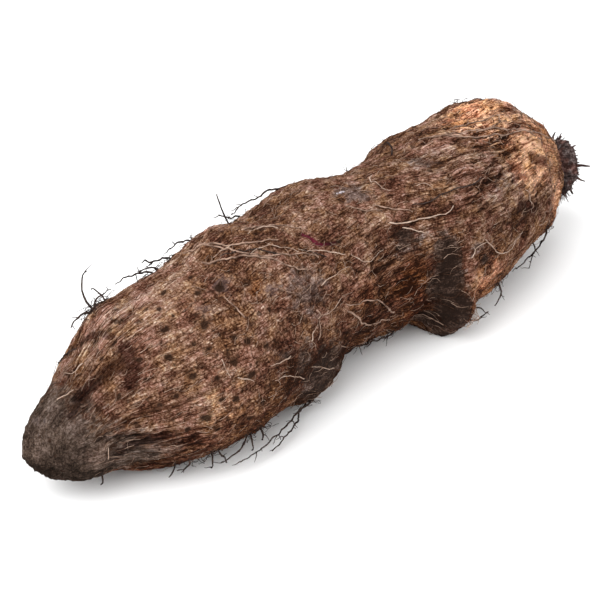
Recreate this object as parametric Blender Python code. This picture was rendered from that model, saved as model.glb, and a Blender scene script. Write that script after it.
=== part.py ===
"""A whole purple yam, as dug and unpeeled, lying on its side.

The tuber and the rootlets that grow from it are one solid, because they grew as one piece.
The woody stub that the vine left behind is the second solid. Lengths are in millimetres
until a point is handed to Blender. +X runs from the growing tip to the vine end, and the
yam rests on the plane z = 0.
"""

import math
import random

import bmesh
import bpy
from mathutils import Matrix, Vector, noise

MM = 0.001
PROBE = 0.5

# Places along the yam where its middle line and its half-width are known:
# (x, middle y, middle z, half-width).
STATIONS = (
    (-170.0, 3.0, 24.5, 14.0),
    (-150.0, 1.0, 29.5, 19.0),
    (-138.0, 2.0, 32.0, 24.5),
    (-124.0, 0.5, 34.5, 33.0),
    (-108.0, -2.5, 37.0, 37.5),
    (-84.0, -3.5, 39.0, 39.5),
    (-60.0, 1.5, 40.0, 40.5),
    (-36.0, 5.5, 40.5, 38.5),
    (-12.0, 9.0, 41.0, 39.5),
    (10.0, 12.0, 41.0, 40.0),
    (30.0, 9.0, 41.0, 41.5),
    (48.0, 2.0, 41.5, 40.5),
    (68.0, 4.0, 41.5, 42.0),
    (90.0, 9.0, 42.0, 41.5),
    (111.0, 13.5, 42.8, 40.7),
    (126.0, 13.6, 43.6, 37.6),
    (138.0, 11.3, 42.1, 30.2),
    (148.0, 7.6, 40.4, 24.4),
    (156.5, 4.0, 39.4, 21.0),
)

# The ends round off over these lengths, and the vine end stops at a small flat seat.
TIP_CAP_LENGTH = 20.0
VINE_CAP_LENGTH = 10.0
VINE_SEAT_RADIUS = 12.0
SEAT_FADE = 13.0

# Towards the vine end the yam turns to face -Y, by this much at its seat.
VINE_TURN = math.radians(24.0)
VINE_TURN_START = 108.0

# The yam lies on two small flats: skin that would reach lower than this is pressed flat.
REST_HEIGHT = 0.6

RINGS_BETWEEN_CAPS = 60
RINGS_IN_A_CAP = 5
SIDES = 48

# Swellings and hollows: (x, angle in degrees, height, reach along, reach around, bluntness).
# Angle 0 faces +Y, 90 faces up, 180 faces -Y and 270 faces down. A bluntness of 1 is a bell,
# and a higher one has a flatter top and steeper sides.
SWELLINGS = {
    "toe of the first swelling": (-36.5, 224.0, 7.8, 14.0, 19.0, 1.4),
    "foot below the vine end": (46.6, 228.0, 9.4, 7.0, 22.0, 1.6),
    "heel beside the foot": (64.0, 230.0, 1.5, 9.0, 12.0, 1.0),
    "cheek below the vine end": (143.0, 222.0, 5.6, 11.0, 16.0, 1.0),
    "flat above the vine end": (147.0, 47.0, -2.6, 8.0, 12.0, 1.0),
    "lip under the tip": (-150.0, 235.0, 2.5, 11.0, 12.0, 1.0),
    "knuckle above the tip": (-118.0, 50.0, 2.0, 6.0, 9.0, 1.0),
    "shoulder behind": (70.0, 20.0, 5.0, 22.0, 24.0, 1.0),
    "knee behind": (-78.0, 340.0, 5.5, 16.0, 17.0, 1.0),
    "low bump on top": (-58.0, 88.0, 3.0, 20.0, 22.0, 1.0),
    "waist on top": (28.0, 62.0, -5.5, 13.0, 34.0, 1.0),
    "cleft beside the foot": (33.0, 207.0, -5.0, 6.5, 34.0, 1.0),
    "cleft beside the toe": (-16.0, 226.0, -3.5, 7.0, 24.0, 1.0),
    "hollow behind": (8.0, 335.0, -4.0, 16.0, 26.0, 1.0),
}

# The skin's own relief: broad lumps, and folds that run along the yam.
LUMP_HEIGHT, LUMP_SPAN = 1.7, 34.0
FOLD_HEIGHT, FOLD_SPAN, FOLD_STRETCH = 0.9, 11.0, 5.0

# Rootlets, each (x, angle, heading, length, bend, wave, rise) with angles in degrees. The
# heading is taken on the skin, from +X towards rising angles. Bend and wave turn it on the
# way, and rise is how far the loose end stands off the skin.
ROOTLETS = (
    # Standing off the upper edge, from the vine end to the tip.
    (-2, 51, -163, 31, -22, 7, 3),
    (-29, 48, -168, 15, -30, 0, 4),
    (-37, 47, 0, 3, 40, 0, 14),
    (-64, 56, -172, 13, 10, 8, 3),
    (-79, 57, 180, 19, -30, 25, 5),
    (-86, 53, 150, 10, 40, 0, 2),
    (-90, 56, 168, 18, 20, 20, 3),
    (-119, 50, 0, 5, 0, 0, 13),
    (-119, 53, 20, 9, 15, -10, 2),
    (-113, 52, -90, 5, 0, 0, 6),
    (-121, 54, 180, 8, 0, 0, 3),
    # Hanging under the lower edge, from the tip to the vine end.
    (-147, 221, 80, 4, 30, 0, 2),
    (-115, 232, 170, 4, 0, 0, 4),
    (-111, 226, 110, 6, 60, 0, 3),
    (-104, 218, 90, 5, 0, 0, 4),
    (-101, 219, 30, 7, 40, 0, 4),
    (-86, 217, 160, 16, 25, 5, 4),
    (-84, 219, 100, 4, 0, 0, 5),
    (-80, 215, 80, 6, 0, 0, 3),
    (-41, 225, -178, 54, 4, 20, 7),
    (-45, 227, -170, 34, -8, 20, 9),
    (6, 227, 172, 24, 20, 20, 1),
    (19, 224, 160, 18, -30, 30, 1),
    (53, 215, -20, 7, 20, 0, 7),
    (50, 218, -50, 5, -30, 0, 6),
    (74, 208, 110, 9, 20, 0, 5),
    (112, 208, 150, 14, 30, 0, 5),
    (131, 203, 120, 32, 60, 15, 3),
    # Across the near face, from the vine end to the tip.
    (97, 154, 71, 13, 32, -12, 0),
    (57, 163, 50, 36, -63, 18, 0),
    (47, 172, -44, 13, 45, -16, 0),
    (69, 128, 158, 41, 43, 28, 0),
    (29, 92, 168, 19, -133, -15, 0),
    (37, 115, 3, 9, 62, -25, 0),
    (15, 134, 39, 33, -76, -12, 0),
    (20, 140, 33, 15, 0, 0, 0),
    (-13, 139, 48, 23, -60, 12, 0),
    (-16, 138, -146, 26, -6, 0, 0),
    (-36, 146, -37, 22, 79, 19, 0),
    (-26, 133, -135, 13, -6, 0, 0),
    (-61, 105, 0, 25, 49, 0, 0),
    (-62, 93, -163, 12, -10, 0, 0),
    (-36, 99, -148, 19, -38, 15, 0),
    (-47, 116, -159, 30, 28, 15, 0),
    (-46, 161, -36, 21, 67, 40, 0),
    (-51, 172, -90, 9, 100, 0, 0),
    (-32, 206, -152, 24, 8, 0, 0),
    (-56, 194, -136, 24, -29, 0, 0),
    (-64, 171, -166, 15, 0, 0, 0),
    (-95, 162, 27, 9, 15, 0, 0),
    (-99, 146, 82, 9, 0, 0, 0),
    (-81, 133, -105, 13, 0, 0, 0),
    (-154, 84, 50, 8, -23, 0, 0),
    (-138, 86, -152, 11, 52, -18, 0),
    (-146, 199, -80, 7, -15, 0, 0),
)

# More rootlets grow where the yam faces +Y, one to each square of this grid of (x, angle).
FAR_SIDE_X = (-136, -108, -80, -52, -24, 4, 32, 60, 88, 116)
FAR_SIDE_ANGLES = (-52, -24, 14)
FAR_SIDE_SEED = 7
FAR_SIDE_STRAY_X, FAR_SIDE_STRAY_ANGLE = 9.0, 10.0
FAR_SIDE_LENGTHS = (9.0, 26.0)
FAR_SIDE_BEND, FAR_SIDE_WAVE = 80.0, 25.0
FAR_SIDE_LOOSE = 0.4
FAR_SIDE_RISES = (2.0, 9.0)

ROOTLET_STEPS = 6
ROOTLET_SIDES = 3
ROOTLET_SUNK = 2.0
ROOTLET_CLEAR = 1.4
ROOTLET_HALF_WIDTH, ROOTLET_TIP_HALF_WIDTH = 0.65, 0.35
LOWEST_ROOTLET = REST_HEIGHT + 1.2

# The stub: rings of (height above the seat, half-width), then the bristles round it,
# each (angle, place from the middle, lean outwards, length, half-width).
STUB_GAP = 0.3
STUB_RINGS = ((0.0, 11.0), (2.5, 12.6), (5.5, 13.3), (8.6, 12.6), (10.8, 9.0), (10.0, 4.5))
STUB_SINK = 9.2
STUB_SIDES = 26
STUB_ROUGH, STUB_ROUGH_SPAN = 1.3, 5.0
STUB_ROUGH_SEED = 5
PRONGS = (
    (54.0, 11.2, 35.0, 6.0, 1.5),
    (40.0, 8.7, 35.0, 5.0, 1.1),
    (76.0, 7.0, 24.0, 5.5, 1.0),
    (160.0, 8.0, 48.0, 9.0, 1.2),
    (200.0, 8.0, 45.0, 7.0, 1.0),
    (232.0, 9.5, 72.0, 6.5, 1.1),
    (256.0, 9.5, 80.0, 6.0, 1.0),
    (320.0, 9.0, 35.0, 6.0, 1.0),
)
BRISTLE_COUNT = 16
BRISTLE_SEED = 3
BRISTLE_PLACES = (3.0, 10.5)
BRISTLE_LEANS = (0.0, 45.0)
BRISTLE_LENGTHS = (2.5, 5.0)
BRISTLE_HALF_WIDTHS = (0.6, 1.1)
BRISTLE_TAPER = 0.35
BRISTLE_SIDES = 5
BRISTLE_SUNK = 2.5

BARK_COLOUR, BARK_ROUGHNESS = (0.19, 0.105, 0.075), 0.85
STUB_COLOUR, STUB_ROUGHNESS = (0.055, 0.033, 0.028), 0.9


def along_stations(x, column):
    """A smooth curve through one column of STATIONS, read at x."""
    places = [row[0] for row in STATIONS]
    values = [row[column] for row in STATIONS]
    last = len(places) - 1
    i = max(0, min(last - 1, sum(1 for place in places if place <= x) - 1))

    def slope(k):
        before, after = max(k - 1, 0), min(k + 1, last)
        return (values[after] - values[before]) / (places[after] - places[before])

    span = places[i + 1] - places[i]
    t = max(0.0, min(1.0, (x - places[i]) / span))
    return (
        (2 * t**3 - 3 * t**2 + 1) * values[i]
        + (t**3 - 2 * t**2 + t) * span * slope(i)
        + (3 * t**2 - 2 * t**3) * values[i + 1]
        + (t**3 - t**2) * span * slope(i + 1)
    )


TIP_END, VINE_POLE = STATIONS[0][0], STATIONS[-1][0]
TIP_CAP_START = TIP_END + TIP_CAP_LENGTH
VINE_CAP_START = VINE_POLE - VINE_CAP_LENGTH
VINE_SEAT_TURN = math.acos(VINE_SEAT_RADIUS / STATIONS[-1][3])
VINE_END = VINE_CAP_START + VINE_CAP_LENGTH * math.sin(VINE_SEAT_TURN)


def middle(x):
    return Vector((x, along_stations(x, 1), along_stations(x, 2)))


def smooth_radius(x):
    """The half-width at x before swellings and relief, with both ends rounded off."""
    into_tip = max(0.0, (TIP_CAP_START - x) / TIP_CAP_LENGTH)
    into_vine_end = max(0.0, (x - VINE_CAP_START) / VINE_CAP_LENGTH)
    into_cap = min(1.0, max(into_tip, into_vine_end))
    return along_stations(x, 3) * math.sqrt(1 - into_cap**2)


def outward(angle):
    return Vector((0.0, math.cos(angle), math.sin(angle)))


def ease(t):
    """0 below t = 0, 1 above t = 1 and smooth between."""
    t = max(0.0, min(1.0, t))
    return t**2 * (3 - 2 * t)


def turn_at(x):
    """How far the yam has turned towards -Y at x."""
    return VINE_TURN * ease((x - VINE_TURN_START) / (VINE_END - VINE_TURN_START))


def ring_way(x, angle):
    """The outward direction in the ring at x, which is square to the yam's run there."""
    turn = turn_at(x)
    across = Vector((math.sin(turn), math.cos(turn), 0.0))
    return across * math.cos(angle) + Vector((0.0, 0.0, math.sin(angle)))


def swelling(x, angle, radius):
    total = 0.0
    for at_x, at_degrees, height, reach_x, reach_round, bluntness in SWELLINGS.values():
        turn = (angle - math.radians(at_degrees) + math.pi) % math.tau - math.pi
        distance = ((x - at_x) / reach_x) ** 2 + (turn * radius / reach_round) ** 2
        total += height * math.exp(-(distance**bluntness))
    return total


def relief(x, angle, radius):
    """Lumps and lengthwise folds, which fade where an end closes."""
    way = outward(angle) * radius
    lumps = noise.noise(Vector((x, way.y, way.z)) / LUMP_SPAN)
    folds = noise.noise(Vector((x / FOLD_STRETCH, way.y, way.z + 90.0)) / FOLD_SPAN)
    fade = min(1.0, radius / VINE_SEAT_RADIUS)
    return fade * (LUMP_HEIGHT * lumps + FOLD_HEIGHT * folds)


def skin_point(x, angle):
    """A point on the yam's skin, pressed flat where the yam rests."""
    radius = smooth_radius(x)
    away_from_seat = ease((VINE_END - x) / SEAT_FADE)
    shape = away_from_seat * (swelling(x, angle, radius) + relief(x, angle, radius))
    point = middle(x) + ring_way(x, angle) * (radius + shape)
    point.z = max(point.z, REST_HEIGHT)
    return point


def point_off_skin(x, angle, lift):
    """A point at a height above the skin, taken square to it."""
    x = max(TIP_END + 2 * PROBE, min(VINE_END - 2 * PROBE, x))
    turn = PROBE / smooth_radius(x)
    along = skin_point(x + PROBE, angle) - skin_point(x - PROBE, angle)
    around = skin_point(x, angle + turn) - skin_point(x, angle - turn)
    point = skin_point(x, angle) + around.cross(along).normalized() * lift
    point.z = max(point.z, LOWEST_ROOTLET)
    return point


def rootlet_path(x, angle, heading, length, bend, wave, rise):
    """Points down the middle of a rootlet, from under the skin to its loose end."""
    angle, heading = math.radians(angle), math.radians(heading)
    bend, wave = math.radians(bend), math.radians(wave)
    step = length / ROOTLET_STEPS
    points = [point_off_skin(x, angle, -ROOTLET_SUNK)]
    for k in range(ROOTLET_STEPS):
        along = (k + 0.5) / ROOTLET_STEPS
        way = heading + bend * along + wave * math.sin(math.tau * along)
        x += step * math.cos(way)
        angle += step * math.sin(way) / smooth_radius(x)
        lift = ROOTLET_CLEAR + rise * math.sin(math.pi / 2 * (k + 1) / ROOTLET_STEPS)
        points.append(point_off_skin(x, angle, lift))
    return points


def far_side_rootlets():
    """One rootlet for each square of the far side's grid, drawn from a fixed seed."""
    draw = random.Random(FAR_SIDE_SEED)
    rows = []
    for x in FAR_SIDE_X:
        for angle in FAR_SIDE_ANGLES:
            loose = draw.random() < FAR_SIDE_LOOSE
            rows.append((
                x + draw.uniform(-FAR_SIDE_STRAY_X, FAR_SIDE_STRAY_X),
                angle + draw.uniform(-FAR_SIDE_STRAY_ANGLE, FAR_SIDE_STRAY_ANGLE),
                draw.uniform(0, 360),
                draw.uniform(*FAR_SIDE_LENGTHS),
                draw.uniform(-FAR_SIDE_BEND, FAR_SIDE_BEND),
                draw.uniform(-FAR_SIDE_WAVE, FAR_SIDE_WAVE),
                draw.uniform(*FAR_SIDE_RISES) if loose else 0,
            ))
    return rows


def ring_places():
    """Where each ring of skin points lies along x, from the tip to the vine's seat."""
    turns = [(k / RINGS_IN_A_CAP) * math.pi / 2 for k in range(1, RINGS_IN_A_CAP)]
    tip = [TIP_CAP_START - TIP_CAP_LENGTH * math.cos(turn) for turn in turns]
    step = (VINE_CAP_START - TIP_CAP_START) / RINGS_BETWEEN_CAPS
    between = [TIP_CAP_START + step * k for k in range(RINGS_BETWEEN_CAPS)]
    vine = [
        VINE_CAP_START + VINE_CAP_LENGTH * math.sin(VINE_SEAT_TURN * k / RINGS_IN_A_CAP)
        for k in range(RINGS_IN_A_CAP + 1)
    ]
    return tip + between + vine


def new_object(name, bm):
    """A smooth-shaded object in the scene, from a mesh in millimetres."""
    bmesh.ops.recalc_face_normals(bm, faces=bm.faces)
    bmesh.ops.scale(bm, vec=(MM, MM, MM), verts=bm.verts)
    mesh = bpy.data.meshes.new(name)
    bm.to_mesh(mesh)
    bm.free()
    mesh.shade_smooth()
    obj = bpy.data.objects.new(name, mesh)
    bpy.context.scene.collection.objects.link(obj)
    return obj


def close_rings(bm, rings, first, last):
    """Faces between rings of vertices, with one vertex closing each end."""
    sides = len(rings[0])
    for k in range(sides):
        after = (k + 1) % sides
        bm.faces.new((first, rings[0][after], rings[0][k]))
        bm.faces.new((last, rings[-1][k], rings[-1][after]))
        for low, high in zip(rings, rings[1:]):
            bm.faces.new((low[k], low[after], high[after], high[k]))


def make_skin():
    bm = bmesh.new()
    rings = [
        [bm.verts.new(skin_point(x, math.tau * k / SIDES)) for k in range(SIDES)]
        for x in ring_places()
    ]
    close_rings(bm, rings, bm.verts.new(middle(TIP_END)), bm.verts.new(middle(VINE_END)))
    return new_object("tuber", bm)


def make_strand(name, points, half_width, tip_half_width, sides):
    """A tapering strand with flat ends, run through the points."""
    bm = bmesh.new()
    rings = []
    side = (points[1] - points[0]).orthogonal()
    for k, point in enumerate(points):
        before, after = points[max(k - 1, 0)], points[min(k + 1, len(points) - 1)]
        way = (after - before).normalized()
        side = (side - way * side.dot(way)).normalized()
        other = way.cross(side)
        width = half_width + (tip_half_width - half_width) * k / (len(points) - 1)
        turns = [math.tau * n / sides for n in range(sides)]
        rings.append([
            bm.verts.new(point + (side * math.cos(t) + other * math.sin(t)) * width)
            for t in turns
        ])
    bm.faces.new(rings[0])
    bm.faces.new(reversed(rings[-1]))
    for low, high in zip(rings, rings[1:]):
        for k in range(sides):
            after = (k + 1) % sides
            bm.faces.new((low[k], low[after], high[after], high[k]))
    return new_object(name, bm)


def fuse(body, strands):
    """Join strands to the body they grow from, as one closed solid."""
    group = bpy.data.collections.new(body.name + " strands")
    bpy.context.scene.collection.children.link(group)
    for strand in strands:
        bpy.context.scene.collection.objects.unlink(strand)
        group.objects.link(strand)
    union = body.modifiers.new("fuse", "BOOLEAN")
    union.operation = "UNION"
    union.operand_type = "COLLECTION"
    union.collection = group
    union.solver = "EXACT"
    bpy.context.view_layer.objects.active = body
    bpy.ops.object.modifier_apply(modifier=union.name)
    for strand in list(group.objects):
        bpy.data.objects.remove(strand)
    bpy.data.collections.remove(group)


def make_tuber():
    tuber = make_skin()
    rootlets = [
        make_strand(
            "rootlet", rootlet_path(*row), ROOTLET_HALF_WIDTH, ROOTLET_TIP_HALF_WIDTH,
            ROOTLET_SIDES,
        )
        for row in list(ROOTLETS) + far_side_rootlets()
    ]
    fuse(tuber, rootlets)
    return tuber


STUB_AXIS = Vector((math.cos(VINE_TURN), -math.sin(VINE_TURN), 0.0))


def stub_point(height, place, angle):
    """A point in the stub, from its height above the seat and its place from the middle."""
    out = ring_way(VINE_END, angle) * place
    return middle(VINE_END) + STUB_AXIS * (STUB_GAP + height) + out


def rough_stub_point(height, place, angle):
    point = stub_point(height, place, angle)
    if height > 0:
        point += noise.noise_vector(point / STUB_ROUGH_SPAN) * STUB_ROUGH
    clear = (point - middle(VINE_END)).dot(STUB_AXIS)
    return point + STUB_AXIS * max(0.0, STUB_GAP - clear)


def bristle(angle, place, lean, length, half_width):
    """A short tapering spike that stands out of the stub's broken face."""
    angle, lean = math.radians(angle), math.radians(lean)
    way = STUB_AXIS * math.cos(lean) + ring_way(VINE_END, angle) * math.sin(lean)
    top, edge = max(STUB_RINGS)[0], max(place for _, place in STUB_RINGS)
    foot = stub_point(top * (1 - (place / edge) ** 3), place, angle)
    points = [foot - way * BRISTLE_SUNK, foot + way * length / 2, foot + way * length]
    return make_strand("bristle", points, half_width, half_width * BRISTLE_TAPER, BRISTLE_SIDES)


def make_stem_stub():
    noise.seed_set(STUB_ROUGH_SEED)
    bm = bmesh.new()
    turns = [math.tau * k / STUB_SIDES for k in range(STUB_SIDES)]
    rings = [
        [bm.verts.new(rough_stub_point(height, place, turn)) for turn in turns]
        for height, place in STUB_RINGS
    ]
    seat = bm.verts.new(stub_point(0, 0, 0))
    close_rings(bm, rings, seat, bm.verts.new(stub_point(STUB_SINK, 0, 0)))
    stub = new_object("stem_stub", bm)
    draw = random.Random(BRISTLE_SEED)
    bristles = [bristle(*row) for row in PRONGS]
    for k in range(BRISTLE_COUNT):
        bristles.append(bristle(
            360 * (k + draw.uniform(0.1, 0.9)) / BRISTLE_COUNT,
            draw.uniform(*BRISTLE_PLACES),
            draw.uniform(*BRISTLE_LEANS),
            draw.uniform(*BRISTLE_LENGTHS),
            draw.uniform(*BRISTLE_HALF_WIDTHS),
        ))
    fuse(stub, bristles)
    return stub


def give_material(obj, colour, roughness):
    material = bpy.data.materials.new(obj.name)
    material.use_nodes = True
    surface = material.node_tree.nodes["Principled BSDF"]
    surface.inputs["Base Color"].default_value = (*colour, 1.0)
    surface.inputs["Roughness"].default_value = roughness
    surface.inputs["Metallic"].default_value = 0.0
    obj.data.materials.clear()
    obj.data.materials.append(material)


def centre(objects):
    """Move the whole yam so that its box stands over the origin, resting at z = 0."""
    points = [vertex.co for obj in objects for vertex in obj.data.vertices]
    low = Vector([min(point[axis] for point in points) for axis in range(3)])
    high = Vector([max(point[axis] for point in points) for axis in range(3)])
    home = Vector(((low.x + high.x) / 2, (low.y + high.y) / 2, low.z))
    for obj in objects:
        obj.data.transform(Matrix.Translation(-home))


def main():
    for obj in list(bpy.data.objects):
        bpy.data.objects.remove(obj)
    tuber, stub = make_tuber(), make_stem_stub()
    give_material(tuber, BARK_COLOUR, BARK_ROUGHNESS)
    give_material(stub, STUB_COLOUR, STUB_ROUGHNESS)
    centre([tuber, stub])


main()
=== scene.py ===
import math
import random

import bpy
import numpy as np
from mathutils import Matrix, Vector, noise


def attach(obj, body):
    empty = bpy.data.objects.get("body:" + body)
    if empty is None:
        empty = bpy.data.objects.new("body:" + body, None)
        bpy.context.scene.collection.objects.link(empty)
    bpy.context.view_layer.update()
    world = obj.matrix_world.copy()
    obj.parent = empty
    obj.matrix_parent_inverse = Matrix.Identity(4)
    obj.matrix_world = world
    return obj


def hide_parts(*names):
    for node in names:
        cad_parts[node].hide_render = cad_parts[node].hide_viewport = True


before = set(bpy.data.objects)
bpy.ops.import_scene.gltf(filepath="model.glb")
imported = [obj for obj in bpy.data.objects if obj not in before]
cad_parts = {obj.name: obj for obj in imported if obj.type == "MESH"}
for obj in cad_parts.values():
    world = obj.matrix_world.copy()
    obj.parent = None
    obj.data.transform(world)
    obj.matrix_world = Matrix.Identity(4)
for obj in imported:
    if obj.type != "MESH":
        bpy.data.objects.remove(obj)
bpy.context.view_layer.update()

bl_info = {
    "name": "Purple yam",
    "version": (1, 0, 0),
    "blender": (4, 5, 0),
    "location": "3D View > Sidebar > Yam",
    "description": "Dresses the yam's solids with bark, rootlets, fibres and a frayed vine stub",
    "category": "Object",
}

# The yam's form, in millimetres, with the same values and rules as its solids.

MM = 0.001

# (x, middle y, middle z, half-width) at places along the yam.
STATIONS = np.array((
    (-170.0, 3.0, 24.5, 14.0),
    (-150.0, 1.0, 29.5, 19.0),
    (-138.0, 2.0, 32.0, 24.5),
    (-124.0, 0.5, 34.5, 33.0),
    (-108.0, -2.5, 37.0, 37.5),
    (-84.0, -3.5, 39.0, 39.5),
    (-60.0, 1.5, 40.0, 40.5),
    (-36.0, 5.5, 40.5, 38.5),
    (-12.0, 9.0, 41.0, 39.5),
    (10.0, 12.0, 41.0, 40.0),
    (30.0, 9.0, 41.0, 41.5),
    (48.0, 2.0, 41.5, 40.5),
    (68.0, 4.0, 41.5, 42.0),
    (90.0, 9.0, 42.0, 41.5),
    (111.0, 13.5, 42.8, 40.7),
    (126.0, 13.6, 43.6, 37.6),
    (138.0, 11.3, 42.1, 30.2),
    (148.0, 7.6, 40.4, 24.4),
    (156.5, 4.0, 39.4, 21.0),
))

TIP_CAP_LENGTH = 20.0
VINE_CAP_LENGTH = 10.0
VINE_SEAT_RADIUS = 12.0
SEAT_FADE = 13.0
VINE_TURN = math.radians(24.0)
VINE_TURN_START = 108.0
REST_HEIGHT = 0.6

# Swellings and hollows: (x, angle in degrees, height, reach along, reach around, bluntness).
# Angle 0 faces +Y, 90 faces up, 180 faces -Y and 270 faces down.
SWELLINGS = {
    "toe of the first swelling": (-36.5, 224.0, 7.8, 14.0, 19.0, 1.4),
    "foot below the vine end": (46.6, 228.0, 9.4, 7.0, 22.0, 1.6),
    "heel beside the foot": (64.0, 230.0, 1.5, 9.0, 12.0, 1.0),
    "cheek below the vine end": (143.0, 222.0, 5.6, 11.0, 16.0, 1.0),
    "flat above the vine end": (147.0, 47.0, -2.6, 8.0, 12.0, 1.0),
    "lip under the tip": (-150.0, 235.0, 2.5, 11.0, 12.0, 1.0),
    "knuckle above the tip": (-118.0, 50.0, 2.0, 6.0, 9.0, 1.0),
    "shoulder behind": (70.0, 20.0, 5.0, 22.0, 24.0, 1.0),
    "knee behind": (-78.0, 340.0, 5.5, 16.0, 17.0, 1.0),
    "low bump on top": (-58.0, 88.0, 3.0, 20.0, 22.0, 1.0),
    "waist on top": (28.0, 62.0, -5.5, 13.0, 34.0, 1.0),
    "cleft beside the foot": (33.0, 207.0, -5.0, 6.5, 34.0, 1.0),
    "cleft beside the toe": (-16.0, 226.0, -3.5, 7.0, 24.0, 1.0),
    "hollow behind": (8.0, 335.0, -4.0, 16.0, 26.0, 1.0),
}
LUMP_HEIGHT, LUMP_SPAN = 1.7, 34.0
FOLD_HEIGHT, FOLD_SPAN, FOLD_STRETCH = 0.9, 11.0, 5.0
FOLD_SHIFT = 90.0

# Rootlets: (x, angle, heading, length, bend, wave, rise), angles in degrees. The heading is
# taken on the skin, from +X towards rising angles.
# The edge rootlets are drawn dark, partly as painted shade along the yam's outline.
EDGE_ROOTLETS = (
    (-2, 51, -163, 31, -22, 7, 3),
    (-29, 48, -168, 15, -30, 0, 4),
    (-37, 47, 0, 3, 40, 0, 14),
    (-64, 56, -172, 13, 10, 8, 3),
    (-79, 57, 180, 19, -30, 25, 5),
    (-86, 53, 150, 10, 40, 0, 2),
    (-90, 56, 168, 18, 20, 20, 3),
    (-119, 50, 0, 5, 0, 0, 13),
    (-119, 53, 20, 9, 15, -10, 2),
    (-113, 52, -90, 5, 0, 0, 6),
    (-121, 54, 180, 8, 0, 0, 3),
    (-147, 221, 80, 4, 30, 0, 2),
    (-115, 232, 170, 4, 0, 0, 4),
    (-111, 226, 110, 6, 60, 0, 3),
    (-104, 218, 90, 5, 0, 0, 4),
    (-101, 219, 30, 7, 40, 0, 4),
    (-86, 217, 160, 16, 25, 5, 4),
    (-84, 219, 100, 4, 0, 0, 5),
    (-80, 215, 80, 6, 0, 0, 3),
    (-41, 225, -178, 54, 4, 20, 7),
    (-45, 227, -170, 34, -8, 20, 9),
    (6, 227, 172, 24, 20, 20, 1),
    (19, 224, 160, 18, -30, 30, 1),
    (53, 215, -20, 7, 20, 0, 7),
    (50, 218, -50, 5, -30, 0, 6),
    (74, 208, 110, 9, 20, 0, 5),
    (112, 208, 150, 14, 30, 0, 5),
    (131, 203, 120, 32, 60, 15, 3),
)
FACE_ROOTLETS = (
    (97, 154, 71, 13, 32, -12, 0),
    (57, 163, 50, 36, -63, 18, 0),
    (47, 172, -44, 13, 45, -16, 0),
    (69, 128, 158, 41, 43, 28, 0),
    (29, 92, 168, 19, -133, -15, 0),
    (37, 115, 3, 9, 62, -25, 0),
    (15, 134, 39, 33, -76, -12, 0),
    (20, 140, 33, 15, 0, 0, 0),
    (-13, 139, 48, 23, -60, 12, 0),
    (-16, 138, -146, 26, -6, 0, 0),
    (-36, 146, -37, 22, 79, 19, 0),
    (-26, 133, -135, 13, -6, 0, 0),
    (-61, 105, 0, 25, 49, 0, 0),
    (-62, 93, -163, 12, -10, 0, 0),
    (-36, 99, -148, 19, -38, 15, 0),
    (-47, 116, -159, 30, 28, 15, 0),
    (-46, 161, -36, 21, 67, 40, 0),
    (-51, 172, -90, 9, 100, 0, 0),
    (-32, 206, -152, 24, 8, 0, 0),
    (-56, 194, -136, 24, -29, 0, 0),
    (-64, 171, -166, 15, 0, 0, 0),
    (-95, 162, 27, 9, 15, 0, 0),
    (-99, 146, 82, 9, 0, 0, 0),
    (-81, 133, -105, 13, 0, 0, 0),
    (-154, 84, 50, 8, -23, 0, 0),
    (-138, 86, -152, 11, 52, -18, 0),
    (-146, 199, -80, 7, -15, 0, 0),
)
# Root scars that show best: (x, angle in degrees, half-width).
SCARS = (
    (-152, 114, 1.5), (-137, 138, 1.2), (-127, 137, 1.1), (-126, 123, 1.0), (-126, 158, 1.5),
    (-122, 122, 1.2), (-120, 157, 1.2), (-120, 170, 1.0), (-119, 125, 0.8), (-118, 183, 1.2),
    (-117, 131, 1.4), (-116, 97, 1.1), (-116, 137, 0.8), (-112, 113, 2.0), (-112, 148, 2.1),
    (-111, 179, 2.0), (-108, 98, 1.2), (-106, 108, 0.9), (-106, 131, 1.5), (-103, 157, 1.7),
    (-103, 171, 1.2), (-102, 138, 1.3), (-101, 88, 1.5), (-100, 102, 1.0), (-98, 123, 2.2),
    (-97, 175, 1.8), (-95, 144, 1.5), (-94, 152, 2.3), (-90, 139, 1.5), (-90, 195, 1.3),
    (-88, 165, 1.8), (-85, 114, 0.8), (-85, 145, 1.5), (-84, 187, 1.3), (-82, 100, 1.5),
    (-82, 108, 2.2), (-80, 138, 1.2), (-77, 154, 2.0), (-75, 93, 1.5), (-74, 104, 1.5),
    (-71, 117, 2.0), (-68, 138, 1.5), (-64, 155, 1.2), (-58, 122, 1.2), (-51, 144, 1.2),
)
# More scars are drawn at random over two stretches, the second with a part of the first's
# number and its own spacing. A half-width is drawn as (least, most, commonest).
SCAR_TRIES = 12
SCAR_X, THIN_SCAR_X = (-138.0, -30.0), (-30.0, 140.0)
THIN_SCAR_PART, THIN_SCAR_SPACING = 3, 11.0
SCAR_HALF_WIDTHS = (0.7, 1.9, 1.0)
SCAR_STRETCHES, SCAR_LEANS, SCAR_STRENGTHS = (0.8, 1.5), (-0.5, 0.5), (0.7, 1.1)
SCAR_REACH, SCAR_LENGTH = 1.8, 4

# Which of the face's rootlets are dark and old, or brown, rather than pale. The pale colour is partly
# painted light.
DARK_ON_FACE = (3, 11, 15)
BROWN_ON_FACE = (23,)

FAR_SIDE_X = (-136, -108, -80, -52, -24, 4, 32, 60, 88, 116)
FAR_SIDE_ANGLES = (-52, -24, 14)
FAR_SIDE_SEED = 7
FAR_SIDE_STRAY_X, FAR_SIDE_STRAY_ANGLE = 9.0, 10.0
FAR_SIDE_LENGTHS = (9.0, 26.0)
FAR_SIDE_BEND, FAR_SIDE_WAVE = 80.0, 25.0
FAR_SIDE_LOOSE = 0.4
FAR_SIDE_RISES = (2.0, 9.0)

ROOTLET_SUNK = 2.0
ROOTLET_CLEAR = 1.4
LOWEST_ROOTLET = REST_HEIGHT + 1.2

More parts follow.
